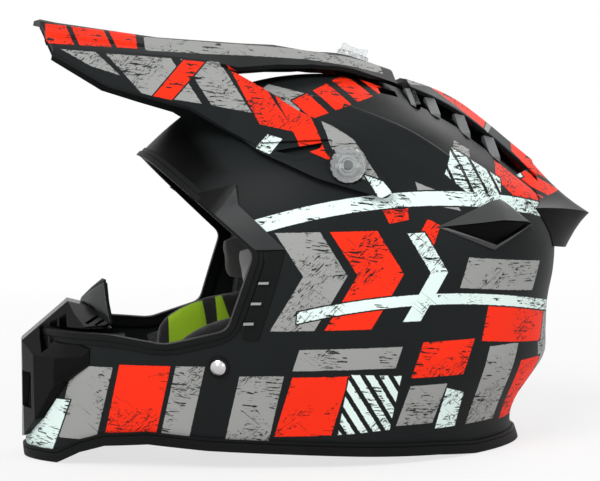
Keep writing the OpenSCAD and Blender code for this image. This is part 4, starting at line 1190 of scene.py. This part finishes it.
def build_tail():
    """The lofted wing at the back, hollow under its tip."""
    fine_y, out = [72 * k / 28 for k in range(29)], []
    for y in fine_y:
        p = [Vector([curve([(a, r[k][c]) for a, r in zip(TAIL_Y, TAIL)], y, 1) for c in (0, 1)]) for k in range(4)]
        line = []
        for a, b, sag, us in ((p[0], p[1], -3.0, (0, 0.15, 0.3, 0.45, 0.6, 0.75, 0.9)),
                              (p[1], p[2], 2.0, (0, 0.12, 0.35, 0.6, 0.85, 1))):
            line += [a.lerp(b, u) + Vector((0, sag * math.sin(math.pi * u))) for u in us]
        out.append(line + [p[3]])
    o = loft(fine_y, out)
    cut(o, form_copy(GAP))
    cut(o, prism(grown(DIAMOND, GAP)))
    cut(o, block((50, -34.3, 120), (150.3, 34.3, 220)))
    piece(o, "tail_wing", "tail", "plastic_black", "tail", angle=24)


def ring_frame(m, a, b):
    return tube([m @ Vector(p) for p in ((-a, -b, 0), (a, -b, 0), (a, b, 0), (-a, b, 0))], 0.42, 6, closed=True)


def mouth_frame(side):
    n = Vector((-1, (nose_x(16, 44) - nose_x(14, 44)) / 2, (nose_x(15, 45) - nose_x(15, 43)) / 2)).normalized()
    p = Vector((nose_x(15, 44), 15, 44)) - (T + GAP + 2.1) * n
    p.y *= side
    n.y *= side
    return frame_at(p, n, Vector((0, 1, 0)))


# ---------------------------------------------------------------- padding
def head_ring(z, off, t):
    """A point of the head space at height z and angle t, moved out by off."""
    mid = 29.0
    u = max(0, (z - 125) / 79)
    k = math.sqrt(max(0.0004, 1 - u * u))
    low = max(0, (125 - z) / 125)
    a = (97 - 12 * low) * k + off * (0.4 + 0.6 * k)
    b = (76 - 5 * low) * k + off * (0.4 + 0.6 * k)
    c, s = math.cos(t), math.sin(t)
    return (mid + a * signed(c, 0.93), b * signed(s, 0.93), z + off * u)


def head_form(off, n=96):
    zs = [-10, 30, 70, 105, 125, 135, 145, 155, 164, 172, 180, 187, 193, 198, 201, 203, 203.9]
    return stack([[head_ring(z, off, 2 * math.pi * i / n) for i in range(n)] for z in zs])


def build_liner():
    n = 192
    outer = head_form(8.0)
    cut(outer, prism([(-90, 160), (-52, 121), (130, 121), (150, 260), (-90, 260)]), "INTERSECT")
    cut(outer, prism(grown(PORT, 8)))
    rings = []
    zs = [100, 119] + [121 + 79.2 * k / 60 for k in range(61)] + [202.5]
    for z in zs:
        r = []
        for i in range(n):
            th = 2 * math.pi * (i + 0.5) / n
            a, b = abs(math.sin(4 * th)), abs(math.sin(math.pi * (z - 122) / 27))
            q = 0.38 + 0.62 * (a * b) ** 0.3
            wr = noise.noise(Vector((math.cos(th) * 4, math.sin(th) * 4, z * 0.05)))
            f = 0 if z < 120 else 8 * (1 - q) + 0.35 * wr
            r.append(head_ring(z, f, th))
        rings.append(r)
    inner = stack(rings)
    cut(outer, inner)
    piece(outer, "crown_padding", "liner", "cloth_black", "crown_liner", angle=60, fill=0.7)
    e = form_copy(-5.85)
    cut(e, prism([(-112, 200), (-98, 158), (-62, 118), (44, 118), (62, 34), (200, 34), (200, 260), (-112, 260)]),
        "INTERSECT")
    cut(e, head_form(8.3))
    cut(e, block((-140, -60, 60), (-36, 60, 180)))
    cut(e, prism(grown(PORT, 8)))
    piece(e, "foam_liner", "foam", "foam", "eps_liner")


def build_temples():
    """The lining's satin side panels, between the crown padding and the cheek pads."""
    nu, nv = 36, 22
    for side, word in SIDES:
        front, back = [], []
        for j in range(nv + 1):
            rows = [], []
            for i in range(nu + 1):
                u, v = 2 * i / nu - 1, 2 * j / nv - 1
                a, b = u * math.sqrt(1 - 0.32 * v * v), v * math.sqrt(1 - 0.32 * u * u)
                t, z = math.radians(121 + 16.5 * a + 4.5 * b), 117.4 + 15 * b
                over = max(0.0, min(1.0, (z - 104) / 17))
                over *= over * (3 - 2 * over)
                puff = ((1 - u * u) * (1 - v * v)) ** 0.4
                wrinkle = 0.25 * noise.noise(Vector((u * 2.5, v * 1.5, 1.7)))
                for row, off in zip(rows, (5.6 - 7.4 * over - 3.2 * puff * (1 - 0.5 * over) + wrinkle * puff,
                                           6.8 - 7.4 * over)):
                    p = head_ring(z, off, t)
                    row.append((p[0], side * p[1], p[2]))
            front.append(rows[0])
            back.append(rows[1])
        piece(sheet(front, back), "temple_lining_" + word, "temple", "cloth_black", angle=70, fill=0.5)


def cheek_outline(n=96):
    out = []
    for i in range(n):
        t = 2 * math.pi * i / n
        c, s = math.cos(t), math.sin(t)
        out.append((-27 + 64 * signed(c, 0.7) + 6 * s, 64 + (31 + 6 * c) * signed(s, 0.7)))
    return out


CHEEK_Y, CHEEK_T = 75.7, 14.2         # a cushion's back, and how thick it is
CHEEK_PRESSURE, CHEEK_FRAMES, CHEEK_SWELL = 4.0, 20, 0.005
CHEEK_ROOM = ((-90.8, 37.5), (60.1, CHEEK_Y), (30.5, 101.5))


def swollen(o, rest):
    """The cushion's points after its cloth simulation, held at its back and capped."""
    c = o.modifiers.new("c", "CLOTH")
    c.settings.use_pressure, c.settings.uniform_pressure_force = True, CHEEK_PRESSURE
    c.settings.effector_weights.gravity = 0
    c.settings.quality = 5
    back = o.vertex_groups.new(name="back")
    back.add([i for i, v in enumerate(rest) if abs(v[1]) > 0.0735], 1.0, "REPLACE")
    c.settings.vertex_group_mass = "back"
    sc = bpy.context.scene
    for f in range(1, CHEEK_FRAMES + 1):
        sc.frame_set(f)
    dg = bpy.context.evaluated_depsgraph_get()
    now = np.array([v.co for v in o.evaluated_get(dg).to_mesh().vertices])
    o.modifiers.clear()
    sc.frame_set(1)
    d = now - rest
    length = np.linalg.norm(d, axis=1, keepdims=True)
    return rest + d * np.minimum(1, CHEEK_SWELL / np.maximum(length, 1e-9))


def build_cheek(side, word):
    pts = cheek_outline()
    mx, mz = (sum(p[k] for p in pts) / len(pts) for k in (0, 1))
    rings = []
    for s, d in ((0.90, 0), (0.975, 0.06), (0.985, 0.3), (0.985, 0.6), (0.95, 0.84), (0.88, 0.95), (0.7, 1),
                 (0.45, 1), (0.15, 1)):
        rings.append([(mx + (p[0] - mx) * s, side * (CHEEK_Y - CHEEK_T * d), mz + (p[1] - mz) * s) for p in pts])
    o = stack(rings)
    m = o.modifiers.new("v", "REMESH")
    m.mode, m.voxel_size = "VOXEL", 0.0036
    baked(o)
    rest = np.array([v.co for v in o.data.vertices])
    rest = swollen(o, rest)
    x, z = rest[:, 0] * 1000 + SHIFT, rest[:, 2] * 1000
    y = np.abs(rest[:, 1]) * 1000
    face = np.clip((72 - y) / 6, 0, 1)
    seam = np.exp(-((x + 43.3 + 0.13 * z) / 3.0) ** 2) + np.exp(-((x + 27 + 0.14 * (z - 64)) / 3.0) ** 2)
    puff = 0.5 * np.sin((x - 3) / 9.0) * np.sin(z / 11.0)
    y = y + face * (3.0 * np.minimum(seam, 1)) - face * 0.5 * puff
    x, y, z = (np.clip(v, *room) for v, room in zip((x, y, z), CHEEK_ROOM))
    co = np.stack([(x - SHIFT) / 1000, side * y / 1000, z / 1000], axis=1).astype(np.float32)
    o.data.vertices.foreach_set("co", co.ravel())
    o.data.update()
    m = o.modifiers.new("s", "SUBSURF")
    m.levels = m.render_levels = 1
    baked(o)
    piece(o, "cheek_cushion_" + word, "pad", "cloth_green", "cheek_pad_" + word, angle=180, fill=0.8)


def build_roll():
    n, k = 150, 36
    rings = []
    for j in range(n + 1):
        t = math.radians(-74 + 148 * j / n)
        e = min(1, 0.35 + 4 * min(j, n - j) / n)
        e = e if min(j, n - j) > 1 else 0.2
        swell = 1 - 0.12 * math.cos(math.radians(180 * 5 * j / n)) ** 8
        r = []
        for i in range(k):
            u = -2 * math.pi * i / k
            w = 1 + 0.02 * noise.noise(Vector((t * 9, math.cos(u) * 2, math.sin(u) * 2)))
            rr = 8 * e * swell * w
            r.append(((30 + (95 + rr * math.cos(u)) * math.cos(t)), (75.7 + rr * math.cos(u)) * math.sin(t),
                      23.3 + 1.3 * rr * math.sin(u)))
        rings.append(r)
    piece(stack(rings), "neck_cushion", "roll", "cloth_black", "neck_roll", angle=180, fill=0.8)


def strap_grid(side, tip):
    """The webbing's rows of points, from above the rivet down and in to its tip."""
    y0 = side_point(-75, 36, -5.1).y
    low = [(y0 - 6, 24), (y0 - 13, 17), (y0 - 24, 12), (54, 9.5), (tip, 7)]
    lines = [[side_point(x, z, -5.1) for z in (73, 64, 50, 36)] + [Vector((x, y, z)) for y, z in low]
             for x in range(-51, -76, -2)]
    rows = []
    for i in range(8 * (len(lines[0]) - 1) + 1):
        row = [spline(line, i / 8) for line in lines]
        rows.append([Vector((p[0], side * p[1], p[2])) for p in row[::side]])
    return rows


def band(outline, x0, x1):
    """A solid with the given outline of (y, z), from x0 to x1."""
    return stack([[(x, *p) for p in outline] for x in (x0, x1)])


def build_straps():
    for side, tip, word in ((-1, 6.0, "left"), (1, 38.15, "right")):
        g = strap_grid(side, tip)
        o = plate(g, 2.0)
        cut(o, bore(2.5, -20, 10, on_side(-63, 64, 0, side), 24))
        if side > 0:
            loop = band(rounded([(27.05, 3.05), (39.35, 3.05), (39.35, 8.95), (27.05, 8.95)], 2.0, 6), -70.8, -55.2)
            cut(loop, band(rounded([(28.05, 4.05), (37.35, 4.05), (37.35, 7.95), (28.05, 7.95)], 1.8, 6), -80, -40))
            cut(o, loop, "UNION")
        piece(o, "chin_strap_" + word, "web", "webbing", "strap_" + word, angle=50)
        seams = []
        for j in (1, len(g[0]) - 2):
            out = []
            for r, q in zip(g[3:], g[4:]):
                a, d = r[j], q[j] - r[j]
                up = d.cross(r[j + 1] - r[j - 1]).normalized()
                out += [a + up * 0.05 + d * 0.1, a + up * 0.42 + d * 0.5, a + up * 0.05 + d * 0.8]
            seams.append(tube(out, 0.28, 5))
        piece(seams, "strap_stitches_" + word, "thread", "webbing", angle=60)


def on_side(x, z, off, side):
    n = side_normal(x, z)
    p = side_point(x, z, off)
    return frame_at((p.x, side * p.y, p.z), Vector((n.x, side * n.y, n.z)))


def dress_cad():
    """The CAD's own shapes that are kept as they are, with their materials."""
    mats = {"chin_eps": "foam", "cheek_eps": "foam", "bush": "bush", "insert": "brass", "strap_plate": "steel",
            "rivet_seal": "rubber", "rivet": "steel", "ring": "steel"}
    for o in list(bpy.data.objects):
        key = next((k for k in mats if o.name.startswith(k)), None)
        if key and o.type == "MESH" and o.name in NODES:
            shaded(o, M[mats[key]], 35)


# ---------------------------------------------------------------- camera, light and floor
def camera():
    ph, base = 0.0178, -178.0

    def stand(p):
        return Vector((p[0] + (p[2] - 0.8) * ph, p[1], p[2] - 0.8 - (p[0] - base) * ph))

    def turn(v):
        return Vector((v[0] + v[2] * ph, v[1], v[2] - v[0] * ph)).normalized()
    a, e, dist = math.radians(-8.0), math.radians(3.5), 1200.0
    back = Vector((math.sin(a) * math.cos(e), -math.cos(a) * math.cos(e), math.sin(e)))
    right = Vector((math.cos(a), math.sin(a), 0))
    up = Vector((-math.sin(a) * math.sin(e), math.cos(a) * math.sin(e), math.cos(e)))
    loc = stand(Vector((0, 0, 136)) + dist * back)
    r, u = turn(right), turn(up)
    b = r.cross(u).normalized()
    cam = bpy.data.cameras.new("camera")
    cam.sensor_width, cam.lens = 36.0, 36.0 * 1846.0 / 600.0
    cam.shift_x = -0.005
    cam.clip_start, cam.clip_end = 0.05, 20
    o, p = linked("camera", cam), to_m(loc)
    o.matrix_world = Matrix(((r.x, u.x, b.x, p.x), (r.y, u.y, b.y, p.y), (r.z, u.z, b.z, p.z), (0, 0, 0, 1)))
    bpy.context.scene.camera = o


def area(name, loc, aim, size, power):
    la = bpy.data.lights.new(name, "AREA")
    la.shape, la.size, la.size_y, la.energy = "RECTANGLE", size[0], size[1], power
    o = linked(name, la)
    o.location = loc
    o.rotation_euler = (Vector(aim) - Vector(loc)).to_track_quat("-Z", "Y").to_euler()


def world(strength):
    """White where the camera and reflections see it, weaker as light."""
    w = bpy.data.worlds.new("studio")
    bpy.context.scene.world = w
    w.use_nodes = True
    net = Net(w.node_tree)
    rays = [net.node("LightPath", out="Is %s Ray" % k) for k in ("Camera", "Transmission", "Glossy")]
    seen = net.f("ADD", net.f("ADD", rays[0], rays[1], use_clamp=True), rays[2], use_clamp=True)
    bg = net.t.nodes["Background"]
    net.feed(bg.inputs["Color"], (1, 1, 1))
    net.feed(bg.inputs["Strength"], net.f("MULTIPLY_ADD", seen, 1.0 - strength, strength))


def floor():
    """A plain pale floor that turns white far off and is clear from below."""
    radii, n, z = [0.3, 0.6, 1.0, 1.6, 2.6, 4.5, 8.0, 14.0, 24.0], 64, -0.0004
    verts = [(0, 0, z)] + [p for r in radii for p in around(Matrix(), r, z, n)]
    faces = [(0, 1 + i, 1 + (i + 1) % n) for i in range(n)]
    for a in range(1, 1 + n * (len(radii) - 1), n):
        faces += [(a + i, a + n + i, a + n + (i + 1) % n, a + (i + 1) % n) for i in range(n)]
    me = bpy.data.meshes.new("studio_floor")
    me.from_pydata(verts, [], faces)
    net = Plastic("studio_floor", Base_Color=(0.86, 0.86, 0.86), Roughness=0.9, Specular_IOR_Level=0.1)
    far = net.v("LENGTH", net.node("TexCoord", out="Object"))
    fac = net.f("MULTIPLY", net.node("LightPath", out="Is Camera Ray"), net.step(far, 0.25, 1.3, 0.72, 1.0))
    lit = net.node("MixShader", fac, net.b.outputs[0], net.node("Emission"))
    shown = net.node("MixShader", net.node("NewGeometry", out="Backfacing"), lit, net.node("BsdfTransparent"))
    net.feed(net.t.nodes["Material Output"].inputs[0], shown)
    me.materials.append(net.mat)
    linked("studio_floor", me)


# ---------------------------------------------------------------- all together
build_shell()
build_trim()
build_guard()
build_peak()
build_screws()
build_crown()
build_tail()
build_liner()
build_temples()
for side, word in SIDES:
    build_cheek(side, word)
build_roll()
build_straps()
dress_cad()
for o in FORMS.values():
    bpy.data.objects.remove(o)

camera()
world(0.46)
floor()
area("key", (-0.9, -1.4, 1.5), (0, 0, 0.12), (1.1, 0.9), 30)
area("fill", (1.4, -1.2, 0.8), (0, 0, 0.12), (1.0, 1.0), 8)
area("rim", (1.3, 1.3, 1.5), (0, 0, 0.15), (1.0, 0.7), 12)

bpy.context.scene.view_settings.view_transform = "Standard"
